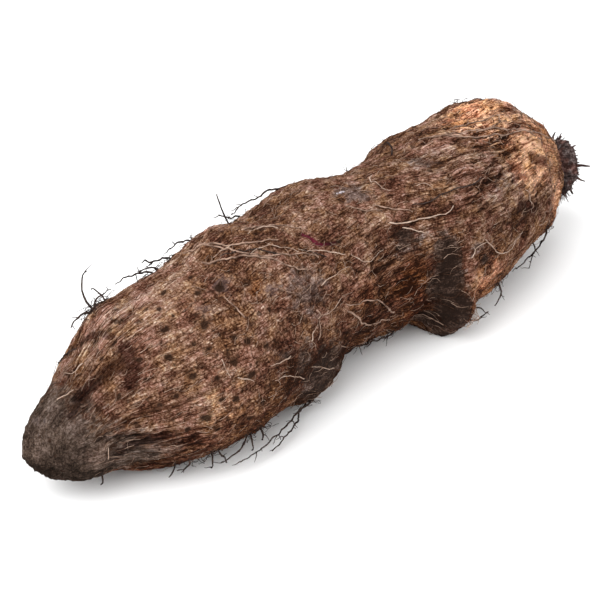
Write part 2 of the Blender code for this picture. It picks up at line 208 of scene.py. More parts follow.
# Lines that run over the bark: points (x, angle in degrees), then half-widths at both ends.
STRINGS = (
    (((152, 112), (144, 115), (125, 124), (103, 116), (88, 105), (77, 92), (66, 74)), 0.42, 0.3),
    (((90, 102), (100, 107), (108, 107), (112, 102)), 0.34, 0.24),
)
STICK = (((61, 52), (56, 61), (50, 68)), 0.5, 0.35)
# Thin strands that lie on the bark, laid out as the rootlets are.
STRANDS = (
    (71, 80, 45, 76, -33, -3, 0),
    (85, 86, 29, 33, -14, 6, 0),
    (-78, 67, 35, 68, 15, 29, 0),
    (-72, 76, 51, 37, -28, 11, 0),
    (-79, 85, 56, 52, -33, -12, 0),
    (-54, 88, 11, 31, 32, -13, 0),
    (13, 119, 38, 18, -11, 4, 0),
    (11, 198, -150, 44, 4, 20, 0),
    (0, 111, 42, 19, -17, 7, 0),
    (29, 233, -35, 14, 13, -5, 0),
    (-25, 170, 33, 42, 2, 20, 0),
    (85, 176, 163, 14, 15, -6, 0),
    (-44, 155, 110, 14, -26, -29, 0),
)
# Tufts of fine hair: (x, angle in degrees, hairs).
TUFTS = (
    (-119, 51, 12), (-113, 53, 9), (-121, 55, 8), (-90, 56, 8), (-79, 57, 7), (-64, 56, 6),
    (-29, 49, 5), (-111, 226, 8), (-104, 218, 8), (-84, 219, 10), (-80, 215, 8), (-45, 227, 7),
    (6, 227, 9), (19, 224, 9), (74, 208, 9), (130, 203, 6),
    (131, 58, 6), (118, 52, 5), (60, 52, 5), (-30, 330, 8), (40, 10, 8), (90, 340, 8),
)
PALE_TUFTS = ((53, 215, 16), (50, 219, 10))

# Patches of tone on the bark: (x, angle in degrees, reach along, reach around, strength).
PATCHES = {
    "pale": (
        (-111, 92, 22, 22, 1.1),
        (-92, 66, 30, 16, 0.7),
        (84, 140, 15, 9, 0.6),
        (-66, 128, 16, 12, 0.45),
        (-132, 82, 8, 12, 0.9),
        (-105, 163, 15, 10, 0.5),
        (-123, 197, 20, 14, 0.45),
        (120, 116, 14, 12, 0.5),
        (-100, 300, 24, 22, 0.7),
        (30, 20, 26, 22, 0.5),
    ),
    "gold": (
        (116, 138, 28, 20, 1.0),
        (140, 122, 20, 20, 0.85),
        (143, 172, 16, 24, 0.65),
        (106, 92, 26, 22, 0.9),
        (61, 195, 17, 16, 0.6),
        (-148, 184, 8, 6, 0.8),
        (-100, 172, 20, 16, 0.35),
        (128, 330, 26, 30, 0.8),
    ),
    "orange": (
        (20, 178, 15, 14, 1.2),
        (27, 210, 13, 16, 1.0),
        (-68, 123, 6, 4, 0.9),
        (103, 80, 20, 14, 0.6),
        (-98, 105, 8, 9, 0.6),
        (-8, 168, 20, 16, 0.75),
        (-30, 300, 20, 16, 0.7),
    ),
    "grey": (
        (80, 140, 15, 9, 0.6),
        (10, 104, 11, 10, 0.9),
        (52, 96, 12, 10, 0.6),
        (-46, 143, 17, 15, 0.75),
        (-70, 165, 12, 8, 0.5),
        (52, 330, 16, 12, 0.9),
        (-60, 20, 12, 10, 0.8),
    ),
    "blue": (
        (-81, 108, 6, 6, 0.9),
        (-63, 129, 6, 5, 0.8),
        (-95, 116, 5, 5, 0.8),
        (-30, 5, 7, 6, 0.9),
        (-162, 84, 8, 7, 0.45),
    ),
    "dark": (
        (-56, 184, 12, 20, 0.7),
        (37, 162, 8, 10, 1.1),
        (37, 186, 8, 18, 1.4),
        (42, 210, 5.5, 13, 1.4),
        (45, 232, 6, 10, 1.1),
        (38, 228, 6, 9, 1.1),
        (52, 167, 10, 5, 0.7),
        (19, 149, 13, 9, 0.8),
        (-42, 204, 17, 17, 1.2),
        (90, 168, 10, 5, 0.6),
        (56, 177, 4, 4, 0.9),
        (-78, 350, 16, 14, 0.8),
        (96, 10, 14, 16, 0.8),
    ),
    "deep": (
        (18, 180, 18, 20, 1.2),
        (-43, 140, 13, 13, 0.15),
        (-101, 148, 18, 14, 0.28),
        (-66, 170, 12, 9, 0.5),
        (74, 162, 14, 10, 0.4),
        (24, 205, 8, 14, 1.0),
        (12, 152, 9, 6, 0.6),
        (-14, 190, 16, 18, 0.6),
        (-160, 196, 14, 14, 0.5),
        (-60, 178, 14, 18, 0.5),
        (30, 140, 16, 10, 0.45),
        (-80, 118, 10, 11, 0.4),
        (-66, 132, 8, 10, 0.4),
        (-96, 188, 22, 12, 0.4),
        (60, 340, 22, 26, 0.6),
        (-60, 320, 26, 26, 0.6),
    ),
}

# Cuts and clefts run through points (x, angle in degrees), each with a half-width, a depth
# and a darkness. The darkness is painted shade down the cleft, over the cut's own dark.
CLEFTS = (
    (((27, 150), (27, 167), (29, 191)), 2.6, 0.5, 0.5),
    (((-44, 184), (-34, 204)), 2.0, 1.0, 0.8),
    (((-149, 163), (-144, 171), (-138, 177), (-134, 180)), 0.7, 0.6, 1.0),
    (((-150, 165), (-145, 173)), 0.7, 0.5, 0.8),
    (((-72, 158), (-66, 172), (-60, 185)), 1.6, 0.6, 0.5),
)
CLEFT_SHARPNESS = 1.5
NICK = (((-29, 111), (-27, 119), (-26, 123), (-22, 125), (-17, 128)), 1.0, 0.7)
# Brown smudges, as lines with a half-width.
SMUDGES = (
    (((-133, 115), (-139, 113), (-144, 110), (-148, 109)), 2.3),
    (((-127, 109), (-130, 119), (-130, 127), (-132, 134)), 2.6),
    (((-132, 65), (-130, 73), (-128, 81), (-127, 92)), 1.1),
    (((-151, 117), (-154, 121)), 1.3),
    (((-141, 193), (-134, 186), (-126, 184)), 1.8),
    (((112, 140), (118, 145), (128, 150)), 2.2),
    (((88, 161), (96, 165), (104, 172)), 2.4),
)
FLECK = (((3.6, 100), (6.4, 101)), 0.9)
# The nick is red round its middle.
RED_REACH = 4.0

# The stub: rings of (height above the seat, half-width), then its prongs, each (angle,
# place from the middle, lean outwards, length, half-width).
STUB_GAP = 0.3
STUB_RINGS = ((0.0, 11.0), (2.5, 12.6), (5.5, 13.3), (8.6, 12.6), (10.8, 9.0), (10.0, 4.5))
STUB_SINK = 9.2
STUB_ROUGH, STUB_ROUGH_SPAN = 1.3, 5.0
STUB_ROUGH_SEED = 5
STUB_TOP, STUB_EDGE = max(STUB_RINGS)[0], max(place for _, place in STUB_RINGS)
STUB_AXIS = np.array((math.cos(VINE_TURN), -math.sin(VINE_TURN), 0.0))
PRONGS = (
    (54.0, 11.2, 35.0, 6.0, 1.5),
    (40.0, 8.7, 35.0, 5.0, 1.1),
    (76.0, 7.0, 24.0, 5.5, 1.0),
    (160.0, 8.0, 48.0, 9.0, 1.2),
    (200.0, 8.0, 45.0, 7.0, 1.0),
    (232.0, 9.5, 72.0, 6.5, 1.1),
    (256.0, 9.5, 80.0, 6.0, 1.0),
    (320.0, 9.0, 35.0, 6.0, 1.0),
)
# Coarse shag on the stub: (angle, place from the middle, lean, length, half-width).
SHAG = (
    (57, 12.0, 60, 6.0, 1.0),
    (50, 12.2, 76, 3.6, 0.8),
    (64, 11.4, 48, 6.5, 0.8),
    (76, 11.0, 40, 5.0, 0.6),
    (45, 11.0, 52, 6.0, 0.6),
    (100, 11.5, 62, 4.5, 0.5),
    (120, 12.0, 70, 4.0, 0.45),
    (150, 11.5, 40, 4.5, 0.5),
    (222, 12.0, 84, 8.0, 0.5),
    (230, 12.4, 100, 7.0, 0.5),
    (240, 12.2, 110, 7.0, 0.6),
    (214, 12.4, 96, 5.5, 0.4),
    (250, 12.6, 100, 6.0, 0.5),
)
BRISTLE_COUNT = 16
BRISTLE_SEED = 3
BRISTLE_STRAYS, BRISTLE_PLACES = (0.1, 0.9), (3.0, 10.5)
BRISTLE_LEANS = (0.0, 45.0)
BRISTLE_LENGTHS = (2.5, 5.0)
BRISTLE_HALF_WIDTHS, BRISTLE_THINNED = (0.6, 1.1), 0.7
BRISTLE_SUNK = 2.5
BRISTLE_POINTS, BRISTLE_KINK, BRISTLE_TIP = 6, (0.6, 3.0), 0.3
# Fine fibres all round the stub, and a fringe below it with a share of their number: the
# least and the most angle, place, lean, length and half-width.
FRAY = ((0, 360), (4.0, 13.0), (0, 95), (1.0, 4.0), (0.15, 0.4))
FRINGE = ((195, 300), (11.0, 13.2), (60, 115), (3.0, 6.5), (0.15, 0.38))
FRINGE_SHARE = 0.35
# The stub's broken face, and its grooves as (number round the stub, turn).
SPLINTER_SPAN, SPLINTER_OCTAVES, SPLINTER = 2.2, 4, 0.7
GROOVES, GROOVE_DEPTH = ((31, 0.0), (13, 1.0)), 0.3

# The dark tip, with a tongue that reaches further back, and the collar of painted shade round the
# stub.
TIP_DARK_FROM, TIP_DARK_FADE = -135.0, 24.0
TONGUE_LENGTH, TONGUE_ANGLE, TONGUE_REACH = 24.0, 200, 0.5
COLLAR_REACH, COLLAR_SHADE = 1.6, 1.6
# Painted shade grows on the underside below this sine of the angle, and blotches grow past the first
# swelling.
SHADED_BELOW = 0.25
WAIST_FROM, WAIST_FADE = -85.0, 40.0
# The heights in millimetres between which the bark's tone changes, darker in its hollows partly as
# painted shade.
TONED_HEIGHTS = (-2.0, 1.5)

# How the bark's fibres sweep round the yam: a place in degrees, a reach in radians and a
# strength, over the top from an x on, and on the near side for each millimetre of x.
TOP_SWEEP_ANGLE, TOP_SWEEP_REACH, TOP_SWEEP = 95, 0.95, 0.36
TOP_SWEEP_FROM, TOP_SWEEP_FADE = 82, 24
NEAR_SWEEP_ANGLE, NEAR_SWEEP_REACH, NEAR_SWEEP = 185, 0.7, 0.0045
GRAIN_RADIUS = 40.0
GRAINLESS_FROM, GRAINLESS_FADE = 6.0, 12.0

# Where the bark is drawn into ridges: (x, angle in degrees, reach along, reach around,
# strength). The tip has them too, but for a crumbly patch and its very end, and the underside.
RIDGED_ZONES = ((92, 116, 56, 60, 1.0), (-60, 52, 60, 24, 0.8), (9, 172, 29, 38, 0.95))
RIDGED_TIP_FROM, RIDGED_TIP_FADE, RIDGED_TIP = -92.0, 26.0, 0.7
CRUMBLY_ZONE, CRUMBLY = (-118, 132, 30, 34), 0.85
TIP_WEAR_FROM, TIP_WEAR_FADE, TIP_WEAR = -136.0, 14.0, 0.5
RIDGED_BELOW, RIDGED_BELOW_FADE, RIDGED_UNDER = -0.45, 0.4, 0.7

# The noises that shape the bark: span in millimetres, along and across the grain where there
# are three, a shift that sets the noise apart from the others, and octaves.
BARK_NOISES = {
    "fine crease": ((26.0, 3.6, 3.6), 0.0, 2),
    "broad crease": ((44.0, 7.5, 7.5), 40.0, 2),
    "break": ((22.0, 9.0, 9.0), 80.0, 1),
    "ripple": ((24.0, 4.6, 4.6), 31.0, 3),
    "wrinkle": ((22.0, 2.8, 2.8), -12.0, 2),
    "lump": (7.5, 0.0, 4),
    "grit": (2.7, 21.0, 2),
    "pock": (4.2, 55.0, 2),
}
FINE_CREASE, BROAD_CREASE = 0.15, 0.08
FLATTER_TIP_FROM, FLATTER_TIP_FADE = -90.0, 40.0

# The length of bark that the grid's rings give to the rounding before the stub's seat.
VINE_SHOULDER = 15.0
# Relief fades where the grid closes, and strands keep off both ends and above the floor.
POLE_FADE = 6.0
TINY = 1e-6
END_MARGIN = 1.0
LOWEST_STRAND = REST_HEIGHT + 0.3

# Kinds of rootlet: half-widths at root and tip, kink, and twigs for each millimetre, which a
# setting gives for the dark kind.
DARK_KIND = (0.48, 0.22), 0.6
BROWN_KIND = (0.34, 0.18), 0.5, 0.03
PALE_KIND = (0.27, 0.12), 0.45, 0.02
FACE_ROOTLET_CLEAR = 0.6
LONG_ROOTLET, LONG_IS_THICKER = 30.0, 0.3
ROOTLET_LEAST_STEPS, ROOTLET_STEPS_PER_MM = 8, 1.2
ROOTLET_THICKNESS = (0.8, 1.1)

# How strands wander. A path is its steps, the depth of its root and its clearance, a kink is
# a size and a span, and a taper is the half-widths at root and tip, as shares of its
# rootlet's for a twig. Other pairs are the least and the most. HAIR_RISES adds the commonest.
LEAST_RADIUS = 3.0
# A strand has left the bark after a sixth of its length, and kinks fully after a quarter.
LEAVING_PART, KINKED_PART = 6, 4
KINK_SPAN, FINE_KINK, FINE_KINK_SPAN = 4.5, 0.5, 1.6
NOISE_REACH = 100
UNEVEN = (0.86, 1.14)
TWIG_POINTS, TWIG_BARE_PART = 6, 4
TWIG_LEANS, TWIG_LENGTHS = (0.4, 1.2), (1.5, 5.5)
TWIG_KINK, TWIG_TAPER = (0.9, 2.5), (0.5, 0.2)
STRING_STEPS, STRING_LIFT, STRING_KINK = 8, 0.5, (0.35, 9.0)
HAIR_STRAY_X, HAIR_STRAY_ANGLE = 1.6, 2.4
HAIR_LENGTHS, HAIR_BENDS, HAIR_WAVES = (3.0, 9.0), (-200, 200), (-70, 70)
HAIR_RISES = (0.3, 4.5, 1.0)
HAIR_PATH, HAIR_KINK, HAIR_TAPER = (9, 0.8, 0.3), (1.1, 2.2), (0.15, 0.07)
FIBRE_X, FIBRE_STRAY = (-150, 150), 24
FIBRE_LENGTHS, FIBRE_BENDS, FIBRE_WAVES = (2.5, 8.5), (-60, 60), (-35, 35)
FIBRE_LOOSE, FIBRE_RISES = 0.3, (0.5, 1.8)
FIBRE_PATH, FIBRE_ROOTS, FIBRE_TIP = (5, 0.5, 0.18), (0.09, 0.17), 0.06
# No fibre is laid between these angles, under the yam.
UNDERSIDE = (250, 290)
# How round strands are: 1 gives six sides, 0 gives four.
ROOTLET_ROUNDNESS, FIBRE_ROUNDNESS = 1, 0


def along_stations(x, column):
    """A smooth curve through one column of STATIONS, read at x."""
    places, values = STATIONS[:, 0], STATIONS[:, column]
    last = len(places) - 1
    i = np.clip(np.searchsorted(places, x, side="right") - 1, 0, last - 1)

    def slope(k):
        before, after = np.maximum(k - 1, 0), np.minimum(k + 1, last)
        return (values[after] - values[before]) / (places[after] - places[before])

    span = places[i + 1] - places[i]
    t = np.clip((x - places[i]) / span, 0.0, 1.0)
    return (
        (2 * t**3 - 3 * t**2 + 1) * values[i]
        + (t**3 - 2 * t**2 + t) * span * slope(i)
        + (3 * t**2 - 2 * t**3) * values[i + 1]
        + (t**3 - t**2) * span * slope(i + 1)
    )


TIP_END, VINE_POLE = STATIONS[0, 0], STATIONS[-1, 0]
TIP_CAP_START = TIP_END + TIP_CAP_LENGTH
VINE_CAP_START = VINE_POLE - VINE_CAP_LENGTH
VINE_SEAT_TURN = math.acos(VINE_SEAT_RADIUS / STATIONS[-1, 3])
VINE_END = VINE_CAP_START + VINE_CAP_LENGTH * math.sin(VINE_SEAT_TURN)


def middle(x):
    return np.stack((x + 0.0, along_stations(x, 1), along_stations(x, 2)), axis=-1)


def smooth_radius(x):
    """The half-width at x before swellings and relief, with both ends rounded off."""
    into_tip = (TIP_CAP_START - x) / TIP_CAP_LENGTH
    into_vine_end = (x - VINE_CAP_START) / VINE_CAP_LENGTH
    into_cap = np.clip(np.maximum(into_tip, into_vine_end), 0.0, 1.0)
    return along_stations(x, 3) * np.sqrt(1 - into_cap**2)


def ease(t):
    """0 below t = 0, 1 above t = 1 and smooth between."""
    t = np.clip(t, 0.0, 1.0)
    return t**2 * (3 - 2 * t)


def turn_at(x):
    """How far the yam has turned towards -Y at x."""
    return VINE_TURN * ease((x - VINE_TURN_START) / (VINE_END - VINE_TURN_START))


def ring_way(x, angle):
    """The outward direction in the ring at x, which is square to the yam's run there."""
    turn, across = turn_at(x), np.cos(angle)
    parts = (np.sin(turn) * across, np.cos(turn) * across, np.sin(angle) + 0.0 * turn)
    return np.stack(parts, axis=-1)


def outward(angle):
    return np.stack((0.0 * angle, np.cos(angle), np.sin(angle)), axis=-1)


def turn_from(angle, degrees):
    """How far an angle is past a place given in degrees, within half a turn either way."""
    return (angle - math.radians(degrees) + math.pi) % math.tau - math.pi


def bell(x, angle, at_x, at_degrees, reach_x, reach_degrees):
    """A soft zone of the skin, 1 in its middle."""
    turn = turn_from(angle, at_degrees) / math.radians(reach_degrees)
    return np.exp(-((x - at_x) / reach_x) ** 2 - turn**2)


def noise_at(points, span, octaves=1):
    """Smooth noise at each point, with a span for each axis, rougher with more octaves."""
    flat = (points / np.asarray(span, dtype=float)).reshape(-1, 3).tolist()
    if octaves == 1:
        values = [noise.noise(point) for point in flat]
    else:
        values = [noise.fractal(point, 1.0, 2.0, octaves) for point in flat]
    return np.array(values).reshape(points.shape[:-1])


def swelling(x, angle, radius):
    total = 0.0
    for at_x, at_degrees, height, reach_x, reach_round, bluntness in SWELLINGS.values():
        turn = turn_from(angle, at_degrees)
        distance = ((x - at_x) / reach_x) ** 2 + (turn * radius / reach_round) ** 2
        total += height * np.exp(-(distance**bluntness))
    return total


def relief(x, angle, radius):
    """Lumps and lengthwise folds, which fade where an end closes."""
    way = outward(angle) * np.asarray(radius)[..., None]
    way[..., 0] = x
    lumps = noise_at(way, LUMP_SPAN)
    stretched = way + np.array((0.0, 0.0, FOLD_SHIFT))
    folds = noise_at(stretched, (FOLD_SPAN * FOLD_STRETCH, FOLD_SPAN, FOLD_SPAN))
    return np.minimum(1.0, radius / VINE_SEAT_RADIUS) * (LUMP_HEIGHT * lumps + FOLD_HEIGHT * folds)


def skin_points(x, angle, close=1.0):
    """Points on the yam's skin, pressed flat where the yam rests."""
    x, angle = np.broadcast_arrays(np.asarray(x, float), np.asarray(angle, float))
    radius = smooth_radius(x)
    away_from_seat = ease((VINE_END - x) / SEAT_FADE)
    shape = away_from_seat * (swelling(x, angle, radius) + relief(x, angle, radius))
    points = middle(x) + ring_way(x, angle) * ((radius + shape) * close)[..., None]
    points[..., 2] = np.maximum(points[..., 2], REST_HEIGHT)
    return points


def far_side_rootlets():
    """One rootlet for each square of the far side's grid, drawn from a fixed seed."""
    draw = random.Random(FAR_SIDE_SEED)
    rows = []
    for x in FAR_SIDE_X:
        for angle in FAR_SIDE_ANGLES:
            loose = draw.random() < FAR_SIDE_LOOSE
            rows.append((
                x + draw.uniform(-FAR_SIDE_STRAY_X, FAR_SIDE_STRAY_X),
                angle + draw.uniform(-FAR_SIDE_STRAY_ANGLE, FAR_SIDE_STRAY_ANGLE),
                draw.uniform(0, 360),
                draw.uniform(*FAR_SIDE_LENGTHS),
                draw.uniform(-FAR_SIDE_BEND, FAR_SIDE_BEND),
                draw.uniform(-FAR_SIDE_WAVE, FAR_SIDE_WAVE),
                draw.uniform(*FAR_SIDE_RISES) if loose else 0,
            ))
    return rows


def where_home_is():
    """What moves these millimetres to the frame, read from the solid's own tip."""
    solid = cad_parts["tuber"].data
    tip = min((vertex.co for vertex in solid.vertices), key=lambda co: co.x)
    return middle(np.float64(TIP_END)) - np.array(tip) / MM


HOME = where_home_is()
STUB_SEAT = middle(np.float64(VINE_END))


def to_frame(points):
    """Millimetres along the yam made metres in the frame."""
    return (np.asarray(points) - HOME) * MM


# Modelling helpers.

def finish_piece(piece, material, slot, *nodes):
    """Give a piece its material and body, and say which solids it stands for. The slot is not used.
    """
    piece.data.materials.clear()
    piece.data.materials.append(material)
    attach(piece, "root")
    if nodes:
        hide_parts(*nodes)


def place_vertices(piece, points):
    piece.data.vertices.foreach_set("co", np.asarray(points, dtype=np.float32).ravel())
    piece.data.update()


def pick(piece):
    """Select one object alone."""
    bpy.ops.object.select_all(action="DESELECT")
    piece.select_set(True)
    bpy.context.view_layer.objects.active = piece


def ball(name, sides, rings):
    """A ball to be shaped, closed at both poles."""
    bpy.ops.object.select_all(action="DESELECT")
    bpy.ops.mesh.primitive_uv_sphere_add(segments=sides, ring_count=rings, radius=1.0)
    piece = bpy.context.object
    piece.name = piece.data.name = name
    return piece


def outward_faces(piece):
    """Turn a closed mesh's faces outwards."""
    pick(piece)
    bpy.ops.object.mode_set(mode="EDIT")
    bpy.ops.mesh.select_all(action="SELECT")
    bpy.ops.mesh.normals_make_consistent(inside=False)
    bpy.ops.object.mode_set(mode="OBJECT")
    bpy.ops.object.shade_smooth()


def store(piece, name, values):
    """Keep a value, or a vector, for each vertex of a piece."""
    values = np.asarray(values, dtype=np.float32)
    if values.ndim == 2:
        layer = piece.data.attributes.new(name, "FLOAT_VECTOR", "POINT")
        layer.data.foreach_set("vector", values.ravel())
    else:
        layer = piece.data.attributes.new(name, "FLOAT", "POINT")
        layer.data.foreach_set("value", values)


def make_strands(name, paths, round_steps):
    """Thin round strands in one mesh. Each path is points in millimetres and half-widths."""
    lines = bpy.data.curves.new(name, "CURVE")
    lines.dimensions = "3D"
    lines.bevel_depth = MM
    lines.bevel_resolution = round_steps
    lines.use_fill_caps = True
    for points, half_widths in paths:
        half_widths = np.asarray(half_widths, dtype=float)
        points[:, 2] = np.maximum(points[:, 2], REST_HEIGHT + half_widths)
        line = lines.splines.new("POLY")
        line.points.add(len(points) - 1)
        places = np.ones((len(points), 4))
        places[:, :3] = to_frame(points)
        line.points.foreach_set("co", places.ravel())
        line.points.foreach_set("radius", half_widths)
    strands = bpy.data.objects.new(name, lines)
    bpy.context.scene.collection.objects.link(strands)
    pick(strands)
    bpy.ops.object.convert(target="MESH")
    bpy.ops.object.shade_smooth()
    strands = bpy.context.object
    strands.name = strands.data.name = name
    return strands


# Shader helpers.

# How little every surface shines.
DULL = 0.04


class Wire:
    """A shader socket that takes part in sums, so that an expression adds its Math nodes."""

    def __init__(self, sheet, socket):
        self.sheet, self.socket = sheet, socket

    def math(self, operation, *values):
        return self.sheet.add("ShaderNodeMath", {"operation": operation}, dict(enumerate(values)))

    def __add__(self, other):
        return self.math("ADD", self, other)

    def __sub__(self, other):
        return self.math("SUBTRACT", self, other)

    def __rsub__(self, other):
        return self.math("SUBTRACT", other, self)

    def __mul__(self, other):
        return self.math("MULTIPLY", self, other)

    def __abs__(self):
        return self.math("ABSOLUTE", self)

    __radd__ = __add__
    __rmul__ = __mul__


class Sheet:
    """A material and the one method that adds any node to it."""

    def __init__(self, name):
        self.material = bpy.data.materials.new(name)
        self.material.use_nodes = True
        self.tree = self.material.node_tree
        self.surface = self.tree.nodes["Principled BSDF"]
        self.surface.inputs["Specular IOR Level"].default_value = DULL

    def connect(self, value, socket):
        if isinstance(value, Wire):
            self.tree.links.new(value.socket, socket)
        elif socket.type == "RGBA" and len(value) == 3:
            socket.default_value = (*value, 1.0)
        else:
            socket.default_value = value

    def add(self, kind, settings, values, output=0):
        """A node of a kind, with its settings made first, then its sockets' values or links."""
        node = self.tree.nodes.new(kind)
        for name, setting in settings.items():
            if name == "stops":
                ramp = node.color_ramp
                while len(ramp.elements) < len(setting):
                    ramp.elements.new(1.0)
                for stop, (position, colour) in zip(ramp.elements, setting):
                    stop.position, stop.color = position, (*colour, 1.0)
            else:
                setattr(node, name, setting)
        for key, value in values.items():
            self.connect(value, node.inputs[key])
        return Wire(self, node.outputs[output])

    def stored(self, name, output="Fac"):
        return self.add("ShaderNodeAttribute", {"attribute_name": name}, {}, output)

    def in_spans(self, vector, span):
        """A vector divided by a span, which is one number or one for each axis."""
        spans = span if isinstance(span, tuple) else (span,) * 3
        by = tuple(1.0 / size for size in spans)
        return self.add("ShaderNodeVectorMath", {"operation": "MULTIPLY"}, {0: vector, 1: by})

    def noise(self, vector, span, detail=3.0, roughness=0.55, output=0):
        """Noise of 0 to 1 with a span in millimetres, on a vector in millimetres."""
        return self.add("ShaderNodeTexNoise", {}, {
            "Vector": self.in_spans(vector, span), "Scale": 1.0,
            "Detail": detail, "Roughness": roughness,
        }, output)

    def jitter(self, vector, span, size):
        """A vector in millimetres pushed about by noise."""
        push = self.noise(vector, span, 2.0, output=1)
        return self.add("ShaderNodeVectorMath", {"operation": "MULTIPLY_ADD"}, {
            0: push, 1: (size, size, size), 2: vector,
        })

    def cells(self, vector, span, feature, output=0):
        return self.add("ShaderNodeTexVoronoi", {"feature": feature}, {
            "Vector": self.in_spans(vector, span), "Scale": 1.0,
        }, output)

    def step(self, value, low, high):
        """0 below low, 1 above high and smooth between."""
        return self.add("ShaderNodeMapRange", {"interpolation_type": "SMOOTHSTEP"}, {
            "Value": value, "From Min": low, "From Max": high,
        })

    def mix(self, factor, first, second, blend="MIX"):
        settings = {"data_type": "RGBA", "blend_type": blend}
        return self.add("ShaderNodeMix", settings, {0: factor, 6: first, 7: second}, 2)

    def ramp(self, value, stops):
        return self.add("ShaderNodeValToRGB", {"stops": stops}, {"Fac": value})

    def finish(self, colour, roughness, height=None, depth=0.0):
        """Link the surface's colour and roughness, and a bump whose height is depth metres."""
        self.connect(colour, self.surface.inputs["Base Color"])
        self.connect(roughness, self.surface.inputs["Roughness"])
        if height is not None:
            bump = self.add("ShaderNodeBump", {}, {"Height": height, "Distance": depth})
            self.connect(bump, self.surface.inputs["Normal"])
        return self.material


def millimetres(sheet):
    """Object coordinates in millimetres."""
    return sheet.in_spans(sheet.add("ShaderNodeTexCoord", {}, {}, "Object"), MM)


# What the bark's grid tells its material, besides the grain and the patches.
FIELDS = (
    "height", "crease", "ridged", "scar", "nick", "red", "fleck", "tip", "low", "waist", "smudge",
)
# Colours of the bark's layers. The first three are ramps from dark to light, and the next six
# tint the colour that they lie on.
GREYED = (
    (0.0, (0.023, 0.0135, 0.01)), (0.35, (0.075, 0.047, 0.038)),
    (0.62, (0.152, 0.102, 0.088)), (1.0, (0.33, 0.25, 0.225)),
)
ASHEN = (
    (0.0, (0.019, 0.0125, 0.009)), (0.35, (0.06, 0.042, 0.032)),
    (0.62, (0.128, 0.092, 0.075)), (1.0, (0.26, 0.205, 0.178)),
)
# This ramp paints the dark soil patches and the painted shade down the clefts.
SOOTY_AND_CLEFT_SHADE = (
    (0.0, (0.022, 0.0125, 0.009)), (0.4, (0.066, 0.042, 0.032)),
    (0.7, (0.148, 0.1, 0.082)), (1.0, (0.32, 0.25, 0.23)),
)
ROSY, STRAW, GOLDEN = (0.97, 0.84, 0.91), (1.06, 1.0, 0.79), (1.76, 1.45, 1.16)
# SHADED tints the underside with painted shade.
RUSTY, SHADED, SMUDGED = (1.02, 0.78, 0.56), (0.95, 0.84, 0.72), (0.25, 0.195, 0.185)
BLUISH, PINPRICK, WHITE_FLECK = (0.135, 0.108, 0.118), (0.034, 0.0155, 0.009), (0.62, 0.56, 0.6)
SCAR_RIM, SCAR_PIT = (0.075, 0.036, 0.021), (0.026, 0.0125, 0.0075)
CUT_BROWN, CUT_RED = (0.035, 0.007, 0.009), (0.12, 0.011, 0.027)
# The stub's hollows, its tips and the tint of its reddish patches.
STUB_DARK, STUB_LIGHT, REDDISH = (0.009, 0.006, 0.005), (0.26, 0.21, 0.2), (1.25, 0.82, 0.72)
# Darkest and lightest colours of each piece made of strands.
STRAND_COLOURS = {
    # The dark rootlets are partly painted shade, the pale ones partly painted light.
    "rootlets_dark": ((0.01, 0.007, 0.006), (0.06, 0.04, 0.034)),
    "rootlets_pale": ((0.24, 0.145, 0.1), (0.54, 0.41, 0.33)),
    "strings_brown": ((0.075, 0.04, 0.027), (0.42, 0.28, 0.21)),
    "fibres_brown": ((0.02, 0.009, 0.005), (0.12, 0.06, 0.038)),
    "fibres_tan": ((0.14, 0.075, 0.05), (0.42, 0.29, 0.22)),
}
# Depths of the bumps, in metres.
BARK_BUMP, STRAND_BUMP, STUB_BUMP = 0.0017, 0.0004, 0.0009


